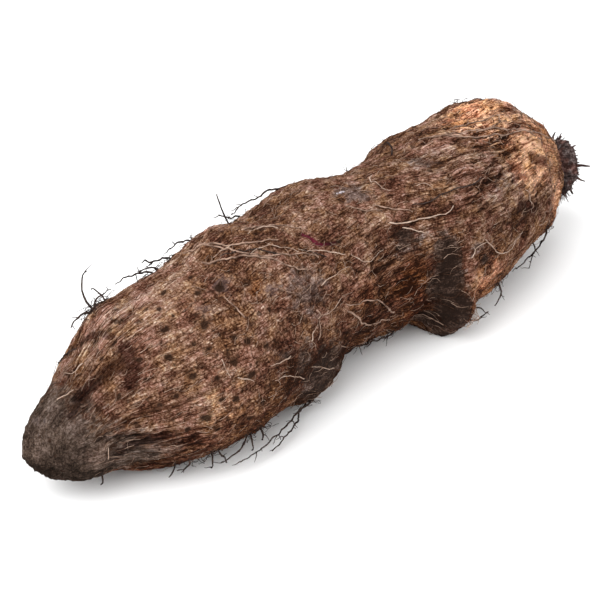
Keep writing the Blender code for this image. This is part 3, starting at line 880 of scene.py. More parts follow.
def bark_material(props):
    """Fibrous brown bark: streaks along the grain, crumbs, scars, soil and worn patches, with painted
    shade in its crevices, clefts, underside and round the stub, and painted highlights on its
    fissures' edges.
    """
    sheet = Sheet("yam_bark")
    place = millimetres(sheet)
    grain = sheet.jitter(sheet.stored("grain", "Vector"), 9.0, 2.2)
    fibre = sheet.noise(grain, (5.5, 0.62, 0.62), 4.0, 0.68)
    streak = sheet.noise(grain, (20.0, 2.6, 2.6), 4.0, 0.62)
    flake = sheet.noise(grain, (12.0, 1.9, 1.9), 3.0, 0.6) - 0.5
    fissure = 1.0 - sheet.step(abs(flake), 0.008, 0.034)
    lit_edge = sheet.step(flake, 0.02, 0.045) * (1.0 - sheet.step(flake, 0.05, 0.1))
    mottle = sheet.noise(place, 4.6, 6.0, 0.7)
    blotch = sheet.noise(place, 14.0, 4.0, 0.6)
    hue = sheet.noise(place, 10.0, 4.0, 0.65)
    dust = sheet.noise(place, 1.0, 3.0, 0.75)
    crumb = sheet.cells(sheet.jitter(place, 1.6, 1.8), 1.9, "DISTANCE_TO_EDGE")
    gap = 1.0 - sheet.step(crumb, 0.0, 0.2)
    wander = sheet.jitter(place, 2.4, 2.6)
    speck, speck_size = (sheet.cells(wander, 5.2, "F1", output) for output in (0, "Color"))

    height, crease, ridged, scar, nick, red, fleck, tip, low, waist, smudge = (
        sheet.stored(name) for name in FIELDS
    )
    # The deep patches also carry the painted shade round the stub.
    pale, gold, orange, grey, blue, dark, deep = (sheet.stored(name) for name in PATCHES)
    ragged = (mottle - 0.5) * 1.6 + (streak - 0.5) * 0.8

    # Creases, fissures, crumb gaps and fine grooves are darkened partly with the bark's own dark and
    # partly with painted shade in its crevices.
    cut_in = sheet.step(crease + (fibre - 0.5) * 1.2 + (dust - 0.5) * 0.8, 0.35, 0.8)
    lines = fissure * (0.35 + ridged * 0.75)
    # Painted highlights along one side of each fissure.
    lit_edge_highlights = lit_edge * (0.2 + ridged * 0.8)
    crumbs = gap * (1.0 - ridged * 0.7)
    comb = 1.0 - sheet.step(abs(sheet.noise(grain, (14.0, 1.3, 1.3), 1.5) - 0.5), 0.012, 0.06)
    fine = (fibre - 0.5) * 1.35 + (dust - 0.5) * 1.35
    # Each share below says how strongly its layer lightens or darkens the bark.
    tone = (
        0.53 + ridged * 0.09 + fine * (1.0 - tip * 0.3 + gold * 0.3) + (streak - 0.5) * (0.5 + ridged)
        + (mottle - 0.5) * (1.15 - ridged * 0.6)
        + (blotch - 0.5) * (0.4 + waist * 0.9 + tip * 0.9)
        # Raised bark is lighter and its hollows darker, partly as painted shade.
        + height * 0.12 + pale * 0.2 + gold * 0.33 + lit_edge_highlights * 0.16 - comb * ridged * 0.2
        - sheet.step(mottle, 0.44, 0.34) * gold * 0.35
        # low darkens the underside with painted shade.
        - dark * 0.22 - deep * 0.24 - low * 0.19 - cut_in * 0.38 - lines * 0.3 - crumbs * 0.2
    )
    colour = sheet.ramp(tone, (
        (0.0, tuple(props.deep_colour)), (0.27, tuple(props.brown_colour)),
        (0.51, tuple(props.tan_colour)), (0.79, tuple(props.pale_colour)),
        (1.0, tuple(props.light_colour)),
    ))
    for share, tint in (
        (sheet.step(hue, 0.48, 0.6) * 0.8, ROSY),
        (sheet.step(hue, 0.5, 0.38) * 0.8, STRAW),
        (sheet.step(gold + ragged, 0.25, 0.8), GOLDEN),
        (sheet.step(orange + ragged, 0.3, 0.95) * 0.75, RUSTY),
        # Painted shade on the underside.
        (low * 0.9, SHADED),
    ):
        colour = sheet.mix(share, colour, tint, "MULTIPLY")
    # The dark patches are soil, and painted shade down the clefts.
    sooty_and_cleft_shade = sheet.ramp(tone + (dust - 0.5) * 0.5 + (blotch - 0.5) * 0.8, SOOTY_AND_CLEFT_SHADE)
    for share, paint in (
        (sheet.step(grey + ragged, 0.35, 0.8) * 0.85, sheet.ramp(tone, GREYED)),
        (sheet.step(tip + ragged * 1.1, 0.15, 0.85) * 0.9, sheet.ramp(tone, ASHEN)),
        (sheet.step(dark + ragged * 1.3, 0.4, 0.85) * 0.88, sooty_and_cleft_shade),
        (sheet.step(blue + ragged, 0.35, 0.9) * 0.5, BLUISH),
    ):
        colour = sheet.mix(share, colour, paint)
    smudged = sheet.step(smudge + ragged * 0.9, 0.15, 0.62) * 0.95
    colour = sheet.mix(smudged, colour, SMUDGED, "MULTIPLY")

    pinprick = sheet.step(speck_size * 0.26 - speck + (dust - 0.5) * 0.25, -0.05, 0.03) * 0.75
    rim = sheet.step(scar + ragged * 0.7, 0.15, 0.6) * 0.5
    pit = sheet.step(scar + (dust - 0.5) * 1.1 + (mottle - 0.5) * 1.3, 0.5, 0.66) * 0.9
    cut = sheet.step(nick + (dust - 0.5) * 0.9 + (mottle - 0.5) * 0.8, 0.42, 0.68) * 0.9
    for share, paint in (
        (pinprick, PINPRICK), (rim, SCAR_RIM), (pit, SCAR_PIT),
        (cut, sheet.mix(red, CUT_BROWN, CUT_RED)),
        (sheet.step(fleck + (dust - 0.5) * 1.6, 0.45, 0.6), WHITE_FLECK),
    ):
        colour = sheet.mix(share, colour, paint)

    roughness = 0.94 - sheet.step(dark, 0.5, 1.0) * 0.15 - (mottle - 0.5) * 0.2
    bump = (
        fibre * 0.45 + streak * 0.35 + mottle * 0.4 + dust * 0.35 - pinprick * 0.3 - pit * 0.3
        - cut * 0.35 - lines * 0.45 + lit_edge_highlights * 0.15 - crumbs * 0.25 - cut_in * 0.35
        - comb * ridged * 0.25
    )
    return sheet.finish(colour, roughness, bump, BARK_BUMP)


def strand_material(piece_name):
    low, high = STRAND_COLOURS[piece_name]
    sheet = Sheet("yam_" + piece_name)
    place = millimetres(sheet)
    tone = sheet.noise(place, 4.0, 4.0, 0.65)
    colour = sheet.ramp(tone, ((0.34, low), (0.66, high)))
    grit = sheet.noise(place, 0.6, 2.0)
    return sheet.finish(colour, 0.85 + (tone - 0.5) * 0.2, grit, STRAND_BUMP)


def stub_material(props):
    """Dry dark wood, reddish in its hollows and black where it frays."""
    sheet = Sheet("yam_stub")
    place = millimetres(sheet)
    tone = sheet.noise(place, 1.9, 5.0, 0.72)
    patch = sheet.noise(place, 7.0, 2.0)
    reddish = sheet.step(patch, 0.46, 0.6) * 0.8
    stops = ((0.34, STUB_DARK), (0.5, tuple(props.stub_colour)), (0.7, STUB_LIGHT))
    colour = sheet.mix(reddish, sheet.ramp(tone, stops), REDDISH, "MULTIPLY")
    grit = sheet.noise(place, 0.8, 3.0)
    return sheet.finish(colour, 0.9 + (tone - 0.5) * 0.1, grit + tone * 2.0, STUB_BUMP)


# The bark, as a grid of rings and sides that strands can be laid on.

def ring_spread(rings):
    """x and closing-in of each ring: round the tip, along the body, round the vine end and
    over its flat seat."""
    lengths = np.array((
        TIP_CAP_LENGTH * math.pi / 2, VINE_CAP_START - TIP_CAP_START,
        VINE_SHOULDER, VINE_SEAT_RADIUS / 2,
    ))
    starts = np.concatenate(((0.0,), np.cumsum(lengths)[:-1]))
    at = np.linspace(0.0, lengths.sum(), rings + 1)
    tip, body, vine, seat = np.clip((at[:, None] - starts) / lengths, 0.0, 1.0).T
    x = (
        TIP_CAP_START - TIP_CAP_LENGTH * np.cos(tip * math.pi / 2)
        + body * (VINE_CAP_START - TIP_CAP_START)
        + VINE_CAP_LENGTH * np.sin(VINE_SEAT_TURN * vine)
    )
    return x, 1.0 - seat


def square_to(grid):
    """The outward direction at each point of a grid of rings and sides."""
    along = np.gradient(grid, axis=0)
    around = (np.roll(grid, -1, axis=1) - np.roll(grid, 1, axis=1)) / 2
    normal = np.cross(around, along)
    size = np.linalg.norm(normal, axis=-1, keepdims=True)
    return normal / np.maximum(size, TINY)


def scatter(draw, count, x_range, spacing, places):
    """Add seeded places (x, angle, half-width) on the skin, none nearer than the spacing."""
    taken = list(places)
    for _ in range(count * SCAR_TRIES):
        x, angle = draw.uniform(*x_range), draw.uniform(0, 360)
        radius = float(smooth_radius(x))
        if all(
            math.hypot(x - other_x, float(turn_from(math.radians(angle), other)) * radius) > spacing
            for other_x, other, _ in taken
        ):
            taken.append((x, angle, draw.triangular(*SCAR_HALF_WIDTHS)))
        if len(taken) >= len(places) + count:
            break
    return taken


def scar_field(x, angle, radius, props):
    """About 1 in the middle of each root scar and falling to 0 just past its rim."""
    draw = random.Random(props.scar_seed)
    places = scatter(draw, props.scar_count, SCAR_X, props.scar_spacing / MM, SCARS)
    thin = props.scar_count // THIN_SCAR_PART
    places = scatter(draw, thin, THIN_SCAR_X, THIN_SCAR_SPACING, places)
    field = np.zeros_like(x)
    for at_x, at_angle, size in places:
        long, lean = draw.uniform(*SCAR_STRETCHES), draw.uniform(*SCAR_LEANS)
        rows = np.abs(x[:, 0] - at_x) < SCAR_LENGTH * size
        turn = turn_from(angle[rows], at_angle) * radius[rows]
        run = x[rows] - at_x
        distance = np.hypot((run + turn * lean) / long, turn - run * lean) / (SCAR_REACH * size)
        strength = draw.uniform(*SCAR_STRENGTHS)
        field[rows] = np.maximum(field[rows], strength * (1.0 - distance))
    return np.maximum(field, 0.0)


def line_field(line, x, angle, radius):
    """1 on a line over the skin and falling to 0 at twice its half-width."""
    points, half_width = line[:2]
    field = np.zeros_like(x)
    for (x0, degrees0), (x1, degrees1) in zip(points, points[1:]):
        scale = radius + TINY
        along_x = x - x0
        along_s = turn_from(angle, degrees0) * scale
        run_x, run_s = x1 - x0, math.radians(degrees1 - degrees0) * scale
        t = np.clip((along_x * run_x + along_s * run_s) / (run_x**2 + run_s**2), 0.0, 1.0)
        distance = np.hypot(along_x - t * run_x, along_s - t * run_s)
        field = np.maximum(field, 1.0 - distance / (2 * half_width))
    return field


def patch_field(name, x, angle, radius):
    field = np.zeros_like(x)
    across = np.where(x > VINE_CAP_START, smooth_radius(np.float64(VINE_CAP_START)), radius)
    for at_x, at_degrees, reach_x, reach_round, strength in PATCHES[name]:
        turn = turn_from(angle, at_degrees) * across
        distance = ((x - at_x) / reach_x) ** 2 + (turn / reach_round) ** 2
        field = np.maximum(field, strength * np.exp(-distance))
    return field


def grain_twist(x, angle):
    """How far the bark's fibres have turned round the yam by x: over the top they sweep
    towards the vine, and on the near side below they fall away."""
    over_top = np.exp(-(turn_from(angle, TOP_SWEEP_ANGLE) / TOP_SWEEP_REACH) ** 2)
    over_top = over_top * (1 + np.tanh((x - TOP_SWEEP_FROM) / TOP_SWEEP_FADE))
    near_side = np.exp(-(turn_from(angle, NEAR_SWEEP_ANGLE) / NEAR_SWEEP_REACH) ** 2)
    return TOP_SWEEP * over_top - NEAR_SWEEP * (near_side * np.maximum(x, 0.0))


def grain_of(x, angle, points, close):
    """Points laid out so that the bark's fibres run along their first axis, and over the
    vine end towards its middle."""
    grain = outward(angle - grain_twist(x, angle)) * GRAIN_RADIUS
    shoulder = smooth_radius(np.float64(VINE_CAP_START)) - smooth_radius(x) * close
    grain[..., 0] = x + shoulder * (x > VINE_CAP_START)
    blunt = ease((TIP_CAP_START - GRAINLESS_FROM - x) / GRAINLESS_FADE)[..., None]
    return grain * (1 - blunt) + points * blunt


def heading_of_grain(x, angle):
    slope = grain_twist(x + 1.0, angle) - grain_twist(x - 1.0, angle)
    return np.arctan(slope / 2 * smooth_radius(x))


class Bark:
    def __init__(self, props):
        self.sides = props.sides
        self.ring_x, close = ring_spread(props.rings)
        turns = np.arange(self.sides) * math.tau / self.sides
        self.x, self.angle = x, angle = np.meshgrid(self.ring_x, turns, indexing="ij")
        close = close[:, None] + 0.0 * x
        self.radius = radius = smooth_radius(x)
        smooth = skin_points(x, angle, close)
        self.out = square_to(smooth)
        self.grain = grain_of(x, angle, smooth, close)
        self.scar = scar_field(x, angle, radius, props)
        self.ridged = self.find_ridged()
        self.crease = self.find_crease()
        closing = np.clip(radius * close / POLE_FADE, 0.0, 1.0)
        self.height = self.find_height(smooth, props) * closing
        self.points = smooth + self.out * self.height[..., None]
        self.points[..., 2] = np.maximum(self.points[..., 2], REST_HEIGHT)

    def find_ridged(self):
        """Where the bark is drawn into lengthwise ridges: 1 there and 0 where it is crumbly."""
        x, angle = self.x, self.angle
        tip = ease((RIDGED_TIP_FROM - x) / RIDGED_TIP_FADE)
        tip *= 1 - CRUMBLY * bell(x, angle, *CRUMBLY_ZONE)
        tip *= RIDGED_TIP - TIP_WEAR * ease((TIP_WEAR_FROM - x) / TIP_WEAR_FADE)
        under = ease((RIDGED_BELOW - np.sin(angle)) / RIDGED_BELOW_FADE) * RIDGED_UNDER
        field = np.maximum(tip, under)
        for *zone, strength in RIDGED_ZONES:
            field = np.maximum(field, bell(x, angle, *zone) * strength)
        return field

    def rough(self, points, name):
        """One of the bark's noises, at points on it."""
        span, shift, octaves = BARK_NOISES[name]
        return noise_at(points + shift, span, octaves)

    def find_crease(self):
        """1 along the creases between ridges, 0 elsewhere."""
        fine = np.exp(-((self.rough(self.grain, "fine crease") / FINE_CREASE) ** 2))
        broad = np.exp(-((self.rough(self.grain, "broad crease") / BROAD_CREASE) ** 2))
        broken = np.clip(0.75 + 1.6 * self.rough(self.grain, "break"), 0.0, 1.0)
        return np.clip((0.12 + self.ridged) * broken * np.maximum(fine, broad), 0.0, 1.0)

    def find_height(self, points, props):
        """How far the bark stands off the smooth skin, in millimetres."""
        ripple, wrinkle = (self.rough(self.grain, name) for name in ("ripple", "wrinkle"))
        lumps, grit, pocks = (self.rough(points, name) for name in ("lump", "grit", "pock"))
        flatter = ease((FLATTER_TIP_FROM - self.x) / FLATTER_TIP_FADE)
        height = (
            props.ripple / MM * (0.3 + self.ridged) * ripple
            + props.wrinkle / MM * (0.35 + self.ridged) * wrinkle
            + props.lumps / MM * (1 - 0.6 * flatter) * lumps
            + props.grit / MM * (1 - 0.6 * self.ridged) * grit
            + np.minimum(0.0, pocks + 0.1) - props.crease_depth / MM * self.crease
            - props.scar_depth / MM * np.clip(self.scar * 1.6 - 0.5, 0.0, 1.0)
        )
        for line in CLEFTS + (NICK,):
            field = line_field(line, self.x, self.angle, self.radius)
            height -= line[2] * np.clip(field, 0.0, 1.0) ** CLEFT_SHARPNESS
        return height

    def on(self, x, angle, lift):
        """Points at a height above the bark."""
        row = np.interp(x, self.ring_x[:self.last_ring()], np.arange(self.last_ring()))
        side = np.mod(angle / math.tau * self.sides, self.sides)
        low, left = np.floor(row).astype(int), np.floor(side).astype(int) % self.sides
        high, right = np.minimum(low + 1, len(self.ring_x) - 1), (left + 1) % self.sides
        up, over = (row - np.floor(row))[..., None], (side - np.floor(side))[..., None]

        def blend(grid):
            near = grid[low, left] * (1 - over) + grid[low, right] * over
            far = grid[high, left] * (1 - over) + grid[high, right] * over
            return near * (1 - up) + far * up

        points = blend(self.points) + blend(self.out) * np.asarray(lift)[..., None]
        points[..., 2] = np.maximum(points[..., 2], LOWEST_STRAND)
        return points

    def last_ring(self):
        return int(np.searchsorted(self.ring_x, VINE_END - END_MARGIN))


MADE = {}


def bark_of(scene):
    """The bark's grid, which every piece that lies on it shares."""
    if "bark" not in MADE:
        MADE["bark"] = Bark(scene.yam_bark)
    return MADE["bark"]


def make_skin(props, bark):
    """The bark, a ball whose every vertex moves to its ring and side of the grid."""
    sides, rings = props.sides, props.rings
    skin = ball("tuber_skin", sides, rings)
    co = np.empty(len(skin.data.vertices) * 3)
    skin.data.vertices.foreach_get("co", co)
    co = co.reshape(-1, 3)
    ring = np.rint(np.arccos(np.clip(co[:, 2], -1, 1)) / math.pi * rings).astype(int)
    side = np.rint(np.arctan2(co[:, 1], co[:, 0]) / math.tau * sides).astype(int) % sides
    place_vertices(skin, to_frame(bark.points)[ring, side])
    outward_faces(skin)

    x, angle, radius = bark.x, bark.angle, bark.radius
    tongue = np.exp(-(turn_from(angle, TONGUE_ANGLE) / TONGUE_REACH) ** 2)
    dark_tip = TIP_DARK_FROM + TONGUE_LENGTH * tongue
    fields = {
        "grain": bark.grain,
        "height": np.clip(bark.height, *TONED_HEIGHTS),
        "crease": bark.crease,
        "ridged": bark.ridged,
        "scar": bark.scar,
        "nick": np.clip(line_field(NICK, x, angle, radius), 0.0, 1.0),
        "red": np.exp(-((x - NICK[0][2][0]) / RED_REACH) ** 2),
        "fleck": np.clip(line_field(FLECK, x, angle, radius), 0.0, 1.0),
        "tip": np.clip((dark_tip - x) / TIP_DARK_FADE, 0.0, 1.0),
        # The low field is painted shade on the underside.
        "low": ease(SHADED_BELOW - np.sin(angle)),
        "waist": ease((x - WAIST_FROM) / WAIST_FADE),
        **{name: patch_field(name, x, angle, radius) for name in PATCHES},
    }
    # Painted shade down each cleft joins the dark patches.
    for line in CLEFTS:
        cleft = line[3] * np.clip(line_field(line, x, angle, radius), 0.0, 1.0)
        fields["dark"] = np.maximum(fields["dark"], cleft)
    # Painted shade in a collar where the skin meets the stub, put into the deep patches.
    collar_shade = COLLAR_SHADE * ease((x - VINE_END) / COLLAR_REACH + 1)
    fields["deep"] = np.maximum(fields["deep"], collar_shade)
    smudges = [line_field(line, x, angle, radius) for line in SMUDGES]
    fields["smudge"] = np.max(smudges, axis=0)
    for name, field in fields.items():
        store(skin, name, field[ring, side])
    return skin


# Rootlets, twigs, strings, hair and fibres.

def strand_paths(bark, rows, steps, sunk, clear):
    """Points down the middle of strands, from under the bark to their loose ends."""
    x, angle, heading, length, bend, wave, rise = np.array(rows, dtype=float).T
    angle, heading, bend, wave = (np.radians(turn) for turn in (angle, heading, bend, wave))
    points = [bark.on(x, angle, 0.0 * x - sunk)]
    for k in range(steps):
        along = (k + 0.5) / steps
        way = heading + bend * along + wave * math.sin(math.tau * along)
        x = np.clip(x + length / steps * np.cos(way), TIP_END + END_MARGIN, VINE_END - END_MARGIN)
        radius = np.maximum(LEAST_RADIUS, smooth_radius(x))
        angle = angle + length / steps * np.sin(way) / radius
        out_of_bark = min(1.0, LEAVING_PART * (k + 1) / steps)
        lift = clear * out_of_bark + rise * math.sin(math.pi / 2 * (k + 1) / steps)
        points.append(bark.on(x, angle, lift))
    return np.stack(points, axis=1)


def wobble(points, draw, size, span=KINK_SPAN):
    """Kink a path a little, more towards its loose end."""
    offset = np.array([draw.uniform(0, NOISE_REACH) for _ in range(3)])
    along = np.linspace(0.0, 1.0, len(points))[:, None]
    kinks = np.array([noise.noise_vector(tuple(p / span + offset)) for p in points])
    return points + kinks * size * np.minimum(1.0, along * KINKED_PART)


def taper(count, root, tip, draw):
    """Half-widths from root to tip, a little uneven."""
    return [
        (root + (tip - root) * k / (count - 1)) * draw.uniform(*UNEVEN) for k in range(count)
    ]


def twigs_of(points, half_width, draw, count):
    """Short side twigs that leave a rootlet along its length."""
    twigs = []
    root, tip = (half_width * share for share in TWIG_TAPER)
    steps = np.linspace(0.0, 1.0, TWIG_POINTS)[:, None]
    for _ in range(count):
        k = draw.randrange(len(points) // TWIG_BARE_PART, len(points) - 1)
        way = points[k + 1] - points[k]
        way = way / np.linalg.norm(way)
        aside = np.cross(way, [draw.uniform(-1, 1) for _ in range(3)])
        aside = aside / np.linalg.norm(aside)
        lean = draw.uniform(*TWIG_LEANS)
        way = way * math.cos(lean) + aside * math.sin(lean)
        length = draw.uniform(*TWIG_LENGTHS)
        path = wobble(points[k] + way * length * steps, draw, *TWIG_KINK)
        path[:, 2] = np.maximum(path[:, 2], LOWEST_ROOTLET)
        twigs.append((path, taper(TWIG_POINTS, root, tip, draw)))
    return twigs


def rootlet_strands(bark, rows, draw, widths, kink, twig_rate):
    strands = []
    for row in rows:
        length, rise = row[3], row[6]
        steps = max(ROOTLET_LEAST_STEPS, int(length * ROOTLET_STEPS_PER_MM))
        clear = ROOTLET_CLEAR if rise else FACE_ROOTLET_CLEAR
        points = wobble(strand_paths(bark, [row], steps, ROOTLET_SUNK, clear)[0], draw, kink)
        points = wobble(points, draw, kink * FINE_KINK, FINE_KINK_SPAN)
        thick = draw.uniform(*ROOTLET_THICKNESS)
        thick *= 1.0 + LONG_IS_THICKER * (length > LONG_ROOTLET)
        root, tip = (width * thick for width in widths)
        strands.append((points, taper(len(points), root, tip, draw)))
        strands += twigs_of(points, root, draw, int(length * twig_rate + draw.random()))
    return strands


def string_strand(bark, line, draw):
    """A long strand laid over the bark through given places."""
    places, root, tip = line
    run = np.linspace(0, len(places) - 1, STRING_STEPS * len(places))
    x, degrees = (np.interp(run, np.arange(len(places)), column) for column in zip(*places))
    lying = bark.on(x, np.radians(degrees), STRING_LIFT + 0.0 * x)
    points = wobble(lying, draw, *STRING_KINK)
    return points, taper(len(points), root, tip, draw)


def hair_tufts(bark, tufts, draw):
    """Curly hairs in tufts, as they stand where rootlets leave the bark."""
    rows = []
    for x, degrees, count in tufts:
        for _ in range(count):
            rows.append((
                x + draw.gauss(0, HAIR_STRAY_X), degrees + draw.gauss(0, HAIR_STRAY_ANGLE),
                draw.uniform(0, 360), draw.uniform(*HAIR_LENGTHS), draw.uniform(*HAIR_BENDS),
                draw.uniform(*HAIR_WAVES), draw.triangular(*HAIR_RISES),
            ))
    return [
        (wobble(points, draw, *HAIR_KINK), taper(len(points), *HAIR_TAPER, draw))
        for points in strand_paths(bark, rows, *HAIR_PATH)
    ]


def fine_fibres(bark, draw, count):
    """Short fibres lying on the bark along its grain, some lifted at their loose end."""
    rows = []
    for _ in range(count):
        x, degrees = draw.uniform(*FIBRE_X), draw.uniform(0, 360)
        heading = draw.choice((0.0, 180.0)) + draw.gauss(0, FIBRE_STRAY)
        heading += math.degrees(heading_of_grain(x, math.radians(degrees)))
        lifted = draw.random() < FIBRE_LOOSE
        rows.append((
            x, degrees, heading, draw.uniform(*FIBRE_LENGTHS), draw.uniform(*FIBRE_BENDS),
            draw.uniform(*FIBRE_WAVES), draw.uniform(*FIBRE_RISES) if lifted else 0.0,
        ))
    rows = [row for row in rows if not UNDERSIDE[0] < row[1] < UNDERSIDE[1]]
    return [
        (points, taper(len(points), draw.uniform(*FIBRE_ROOTS), FIBRE_TIP, draw))
        for points in strand_paths(bark, rows, *FIBRE_PATH)
    ]


# The vine stub.

def stub_point(height, place, angle):
    """A point in the stub, from its height above the seat and its place from the middle."""
    out = ring_way(np.float64(VINE_END), np.float64(angle)) * place
    return STUB_SEAT + STUB_AXIS * (STUB_GAP + height) + out


def bristle(angle, place, lean, length, half_width, draw):
    angle, lean = math.radians(angle), math.radians(lean)
    side = ring_way(np.float64(VINE_END), np.float64(angle))
    way = STUB_AXIS * math.cos(lean) + side * math.sin(lean)
    foot = stub_point(STUB_TOP * (1 - (place / STUB_EDGE) ** 3), place, angle)
    steps = np.linspace(0.0, 1.0, BRISTLE_POINTS)[:, None]
    points = foot + way * (length * steps - BRISTLE_SUNK * (1 - steps))
    points = wobble(points, draw, *BRISTLE_KINK)
    return points, taper(BRISTLE_POINTS, half_width, half_width * BRISTLE_TIP, draw)


def make_stub_core(props):
    """The broken woody disc, turned from the same outline as its solid and roughened."""
    heights, places = np.array(((0.0, 0.0), *STUB_RINGS, (STUB_SINK, 0.0))).T
    rings = props.stub_rings
    core = ball("vine_stub", props.stub_sides, rings)
    run = np.concatenate(((0.0,), np.cumsum(np.hypot(np.diff(heights), np.diff(places)))))
    at = np.linspace(0.0, run[-1], rings + 1)
    ring_height, ring_place = np.interp(at, run, heights), np.interp(at, run, places)
    points = []
    for vertex in core.data.vertices:
        k = round(math.acos(max(-1.0, min(1.0, vertex.co.z))) / math.pi * rings)
        angle = math.atan2(vertex.co.y, vertex.co.x)
        point = stub_point(ring_height[k], ring_place[k], angle)
        if ring_height[k] > 0:
            rough = np.array(noise.noise_vector(tuple(point / STUB_ROUGH_SPAN))) * STUB_ROUGH
            finer = tuple(point / SPLINTER_SPAN)
            splinter = noise.turbulence_vector(finer, SPLINTER_OCTAVES, False)
            groove = sum(GROOVE_DEPTH * math.sin(angle * number + turn) for number, turn in GROOVES)
            side = ring_way(np.float64(VINE_END), np.float64(angle))
            point = point + rough + np.array(splinter) * SPLINTER + side * groove
        clear = (point - STUB_SEAT) @ STUB_AXIS
        points.append(point + STUB_AXIS * max(0.0, STUB_GAP - clear))
    place_vertices(core, to_frame(np.array(points)))
    outward_faces(core)
    return core


def make_stub_bristles(props):
    draw = random.Random(BRISTLE_SEED)
    rows = list(PRONGS)
    for k in range(BRISTLE_COUNT):
        rows.append((
            360 * (k + draw.uniform(*BRISTLE_STRAYS)) / BRISTLE_COUNT,
            draw.uniform(*BRISTLE_PLACES), draw.uniform(*BRISTLE_LEANS),
            draw.uniform(*BRISTLE_LENGTHS), draw.uniform(*BRISTLE_HALF_WIDTHS) * BRISTLE_THINNED,
        ))
    rows += SHAG
    for ranges, count in ((FRAY, props.fray_count), (FRINGE, int(props.fray_count * FRINGE_SHARE))):
        rows += [[draw.uniform(*least_most) for least_most in ranges] for _ in range(count)]
    strands = [bristle(*row, draw) for row in rows]
    return make_strands("vine_bristles", strands, ROOTLET_ROUNDNESS)


# Settings, pieces and panel.

class YamBarkProps(bpy.types.PropertyGroup):
    sides: bpy.props.IntProperty(
        name="Sides", description="Corners round the yam", default=320, min=48, max=320)
    rings: bpy.props.IntProperty(
        name="Rings", description="Rings along the yam", default=306, min=60, max=306)
    ripple: bpy.props.FloatProperty(
        name="Ripples", description="Height of the ridges that run along the bark",
        default=0.0011, unit="LENGTH")
    wrinkle: bpy.props.FloatProperty(
        name="Wrinkles", description="Height of the fine lengthwise wrinkles",
        default=0.0005, unit="LENGTH")
    crease_depth: bpy.props.FloatProperty(
        name="Creases", description="Depth of the creases between ridges",
        default=0.0011, unit="LENGTH")
    grit: bpy.props.FloatProperty(
        name="Grit", description="Height of the crumbs on the bark",
        default=0.0006, unit="LENGTH")
    lumps: bpy.props.FloatProperty(
        name="Lumps", description="Height of the bark's small lumps",
        default=0.0007, unit="LENGTH")
    scar_count: bpy.props.IntProperty(
        name="Scars", description="Root scars drawn on the first swelling", default=110)
    scar_seed: bpy.props.IntProperty(
        name="Scar seed", description="Which scatter of scars is used", default=5)
    scar_spacing: bpy.props.FloatProperty(
        name="Scar spacing", description="Least distance between scars",
        default=0.0075, unit="LENGTH")
    scar_depth: bpy.props.FloatProperty(
        name="Scar depth", description="Depth of a root scar", default=0.0007, unit="LENGTH")
    deep_colour: bpy.props.FloatVectorProperty(
        name="Deep brown", description="Bark in its creases", subtype="COLOR",
        default=(0.02, 0.0075, 0.004))
    brown_colour: bpy.props.FloatVectorProperty(
        name="Brown", description="Bark's common brown", subtype="COLOR",
        default=(0.078, 0.031, 0.016))
    tan_colour: bpy.props.FloatVectorProperty(
        name="Tan", description="Bark where it is worn", subtype="COLOR",
        default=(0.2, 0.1, 0.061))
    pale_colour: bpy.props.FloatVectorProperty(
        name="Pale tan", description="Bark where it is rubbed clean", subtype="COLOR",
        default=(0.38, 0.236, 0.166))
    light_colour: bpy.props.FloatVectorProperty(
        name="Light tan", description="The lightest rubs on the bark", subtype="COLOR",
        default=(0.62, 0.465, 0.37))


class YamRootletProps(bpy.types.PropertyGroup):
    twig_rate: bpy.props.FloatProperty(
        name="Twigs", description="Side twigs for each millimetre of a dark rootlet",
        default=0.16)
    fibre_count: bpy.props.IntProperty(
        name="Fibres", description="Short fibres lying on the bark", default=3000)
    seed: bpy.props.IntProperty(
        name="Seed", description="Which kinks and twigs are drawn", default=11)


class YamStubProps(bpy.types.PropertyGroup):
    stub_sides: bpy.props.IntProperty(
        name="Sides", description="Corners round the vine stub", default=96)
    stub_rings: bpy.props.IntProperty(
        name="Rings", description="Rings over the vine stub", default=64)
    fray_count: bpy.props.IntProperty(
        name="Frayed fibres", description="Fine fibres round the vine stub", default=420)
    stub_colour: bpy.props.FloatVectorProperty(
        name="Stub colour", description="Dry wood of the vine stub", subtype="COLOR",
        default=(0.062, 0.041, 0.038))


class YamStageProps(bpy.types.PropertyGroup):
    azimuth: bpy.props.FloatProperty(
        name="Azimuth", description="Direction the camera looks from", default=-43.0)
    elevation: bpy.props.FloatProperty(
        name="Elevation", description="Camera's height above the horizon", default=32.0)
    distance: bpy.props.FloatProperty(
        name="Distance", description="Camera's distance from its aim", default=0.7418,
        unit="LENGTH")
    lens: bpy.props.FloatProperty(
        name="Lens", description="Focal length in millimetres", default=100.0)
    aim: bpy.props.FloatVectorProperty(
        name="Aim", description="Point the camera looks at", subtype="XYZ", unit="LENGTH",
        default=(-0.0227 - HOME[0] * MM, 0.0008 - HOME[1] * MM, 0.0375 - HOME[2] * MM))
    key_power: bpy.props.FloatProperty(
        name="Key light", description="Power of the large soft light", default=20.0)
    sky_strength: bpy.props.FloatProperty(
        name="Sky", description="Strength of the even light from all round", default=0.95)


class YAM_OT_skin(bpy.types.Operator):
    """Grow the fibrous bark over the tuber"""
    bl_idname = "yam.skin"
    bl_label = "Tuber skin"

    def execute(self, context):
        props = context.scene.yam_bark
        skin = make_skin(props, bark_of(context.scene))
        finish_piece(skin, bark_material(props), "bark", "tuber")
        return {"FINISHED"}


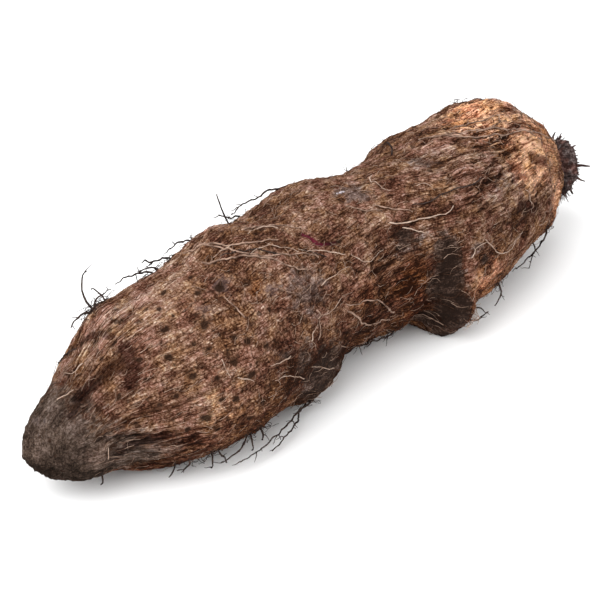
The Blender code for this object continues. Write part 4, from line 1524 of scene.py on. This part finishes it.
class YAM_OT_rootlets(bpy.types.Operator):
    """Add the wiry rootlets, dark ones with twigs, partly painted shade along the outline, and pale
    ones, partly painted light, with tufts of hair
    """
    bl_idname = "yam.rootlets"
    bl_label = "Rootlets"

    def execute(self, context):
        props = context.scene.yam_rootlets
        bark = bark_of(context.scene)
        draw = random.Random(props.seed)
        noise.seed_set(props.seed)
        far = far_side_rootlets()
        not_pale = DARK_ON_FACE + BROWN_ON_FACE
        pale = [row for k, row in enumerate(FACE_ROOTLETS) if k not in not_pale] + far[1::2]
        dark = list(EDGE_ROOTLETS) + far[::2]
        dark = rootlet_strands(bark, dark, draw, *DARK_KIND, props.twig_rate)
        on_face = [FACE_ROOTLETS[k] for k in DARK_ON_FACE]
        dark += rootlet_strands(bark, on_face, draw, *BROWN_KIND)
        dark.append(string_strand(bark, STICK, draw))
        dark += hair_tufts(bark, TUFTS, draw)
        pale = rootlet_strands(bark, pale, draw, *PALE_KIND)
        pale += hair_tufts(bark, PALE_TUFTS, draw)
        brown = list(STRANDS) + [FACE_ROOTLETS[k] for k in BROWN_ON_FACE]
        brown = rootlet_strands(bark, brown, draw, *BROWN_KIND)
        brown += [string_strand(bark, line, draw) for line in STRINGS]
        for name, strands in (
            ("rootlets_dark", dark), ("rootlets_pale", pale), ("strings_brown", brown),
        ):
            piece = make_strands(name, strands, ROOTLET_ROUNDNESS)
            finish_piece(piece, strand_material(name), "bark", "tuber")
        return {"FINISHED"}


class YAM_OT_fibres(bpy.types.Operator):
    """Lay short fine fibres over the bark"""
    bl_idname = "yam.fibres"
    bl_label = "Bark fibres"

    def execute(self, context):
        props = context.scene.yam_rootlets
        draw = random.Random(props.seed + 1)
        fibres = fine_fibres(bark_of(context.scene), draw, props.fibre_count)
        half = len(fibres) // 2
        for name, strands in (("fibres_brown", fibres[:half]), ("fibres_tan", fibres[half:])):
            piece = make_strands(name, strands, FIBRE_ROUNDNESS)
            finish_piece(piece, strand_material(name), "bark")
        return {"FINISHED"}


class YAM_OT_stub(bpy.types.Operator):
    """Model the dry stub that the vine left, with its frayed bristles"""
    bl_idname = "yam.stub"
    bl_label = "Vine stub"

    def execute(self, context):
        props = context.scene.yam_stub
        noise.seed_set(STUB_ROUGH_SEED)
        material = stub_material(props)
        finish_piece(make_stub_core(props), material, "vine_stub", "stem_stub")
        finish_piece(make_stub_bristles(props), material, "vine_stub", "stem_stub")
        return {"FINISHED"}


class YAM_OT_stage(bpy.types.Operator):
    """Set the floor, the soft lights and the camera"""
    bl_idname = "yam.stage"
    bl_label = "Stage"

    def execute(self, context):
        props = context.scene.yam_stage
        make_floor()
        make_lights(context.scene, props)
        make_camera(context.scene, props)
        return {"FINISHED"}


# The stage, in metres. Lights: (name, place, size, share of the key light's power).
FLOOR_SIZE = 12.0
FLOOR_TONES, FLOOR_SPAN = ((0.9, 0.9, 0.9), (0.93, 0.93, 0.93)), 900.0
LIT_POINT = (0.0, 0.0, 0.03)
LIGHTS = (
    ("key_light", (-0.75, -0.1, 1.05), 1.4, 1.0),
    ("fill_light", (0.5, -1.1, 0.7), 0.9, 0.22),
)
WHITE = (1.0, 1.0, 1.0, 1.0)
SENSOR_WIDTH = 36.0
NEAREST_SEEN = 0.01


def make_floor():
    bpy.ops.object.select_all(action="DESELECT")
    bpy.ops.mesh.primitive_plane_add(size=FLOOR_SIZE)
    floor = bpy.context.object
    floor.name = "floor"
    sheet = Sheet("floor_pale")
    tone = sheet.noise(millimetres(sheet), FLOOR_SPAN, 2.0)
    sheet.finish(sheet.mix(tone, *FLOOR_TONES), 0.9)
    floor.data.materials.append(sheet.material)


def aim_light(name, place, target, size, power):
    lamp = bpy.data.lights.new(name, "AREA")
    lamp.shape, lamp.size, lamp.energy = "DISK", size, power
    light = bpy.data.objects.new(name, lamp)
    light.location = place
    light.rotation_euler = (Vector(target) - Vector(place)).to_track_quat("-Z", "Y").to_euler()
    bpy.context.scene.collection.objects.link(light)


def make_lights(scene, props):
    for name, place, size, share in LIGHTS:
        aim_light(name, place, LIT_POINT, size, props.key_power * share)
    world = bpy.data.worlds.new("studio")
    world.use_nodes = True
    sky = world.node_tree.nodes["Background"]
    sky.inputs["Color"].default_value = WHITE
    sky.inputs["Strength"].default_value = props.sky_strength
    scene.world = world
    scene.view_settings.view_transform = "Standard"


def make_camera(scene, props):
    turn, rise = math.radians(props.azimuth), math.radians(props.elevation)
    back = Vector((
        math.sin(turn) * math.cos(rise), -math.cos(turn) * math.cos(rise), math.sin(rise),
    ))
    lens = bpy.data.cameras.new("camera")
    lens.lens, lens.sensor_width, lens.clip_start = props.lens, SENSOR_WIDTH, NEAREST_SEEN
    camera = bpy.data.objects.new("camera", lens)
    camera.location = Vector(props.aim) + back * props.distance
    camera.rotation_euler = back.to_track_quat("Z", "Y").to_euler()
    scene.collection.objects.link(camera)
    scene.camera = camera


class YAM_PT_panel(bpy.types.Panel):
    bl_idname = "YAM_PT_panel"
    bl_label = "Purple yam"
    bl_space_type = "VIEW_3D"
    bl_region_type = "UI"
    bl_category = "Yam"

    def draw(self, context):
        for operator in PIECE_OPERATORS:
            self.layout.operator(operator.bl_idname)


PIECE_OPERATORS = (YAM_OT_skin, YAM_OT_rootlets, YAM_OT_fibres, YAM_OT_stub, YAM_OT_stage)
PROPERTY_GROUPS = {
    "yam_bark": YamBarkProps,
    "yam_rootlets": YamRootletProps,
    "yam_stub": YamStubProps,
    "yam_stage": YamStageProps,
}
CLASSES = (*PROPERTY_GROUPS.values(), *PIECE_OPERATORS, YAM_PT_panel)


def register():
    for kind in CLASSES:
        bpy.utils.register_class(kind)
    for name, group in PROPERTY_GROUPS.items():
        setattr(bpy.types.Scene, name, bpy.props.PointerProperty(type=group))


def unregister():
    for name in PROPERTY_GROUPS:
        delattr(bpy.types.Scene, name)
    for kind in reversed(CLASSES):
        bpy.utils.unregister_class(kind)


def main():
    register()
    bpy.ops.yam.skin()
    bpy.ops.yam.rootlets()
    bpy.ops.yam.fibres()
    bpy.ops.yam.stub()
    bpy.ops.yam.stage()


if __name__ == "__main__":
    main()
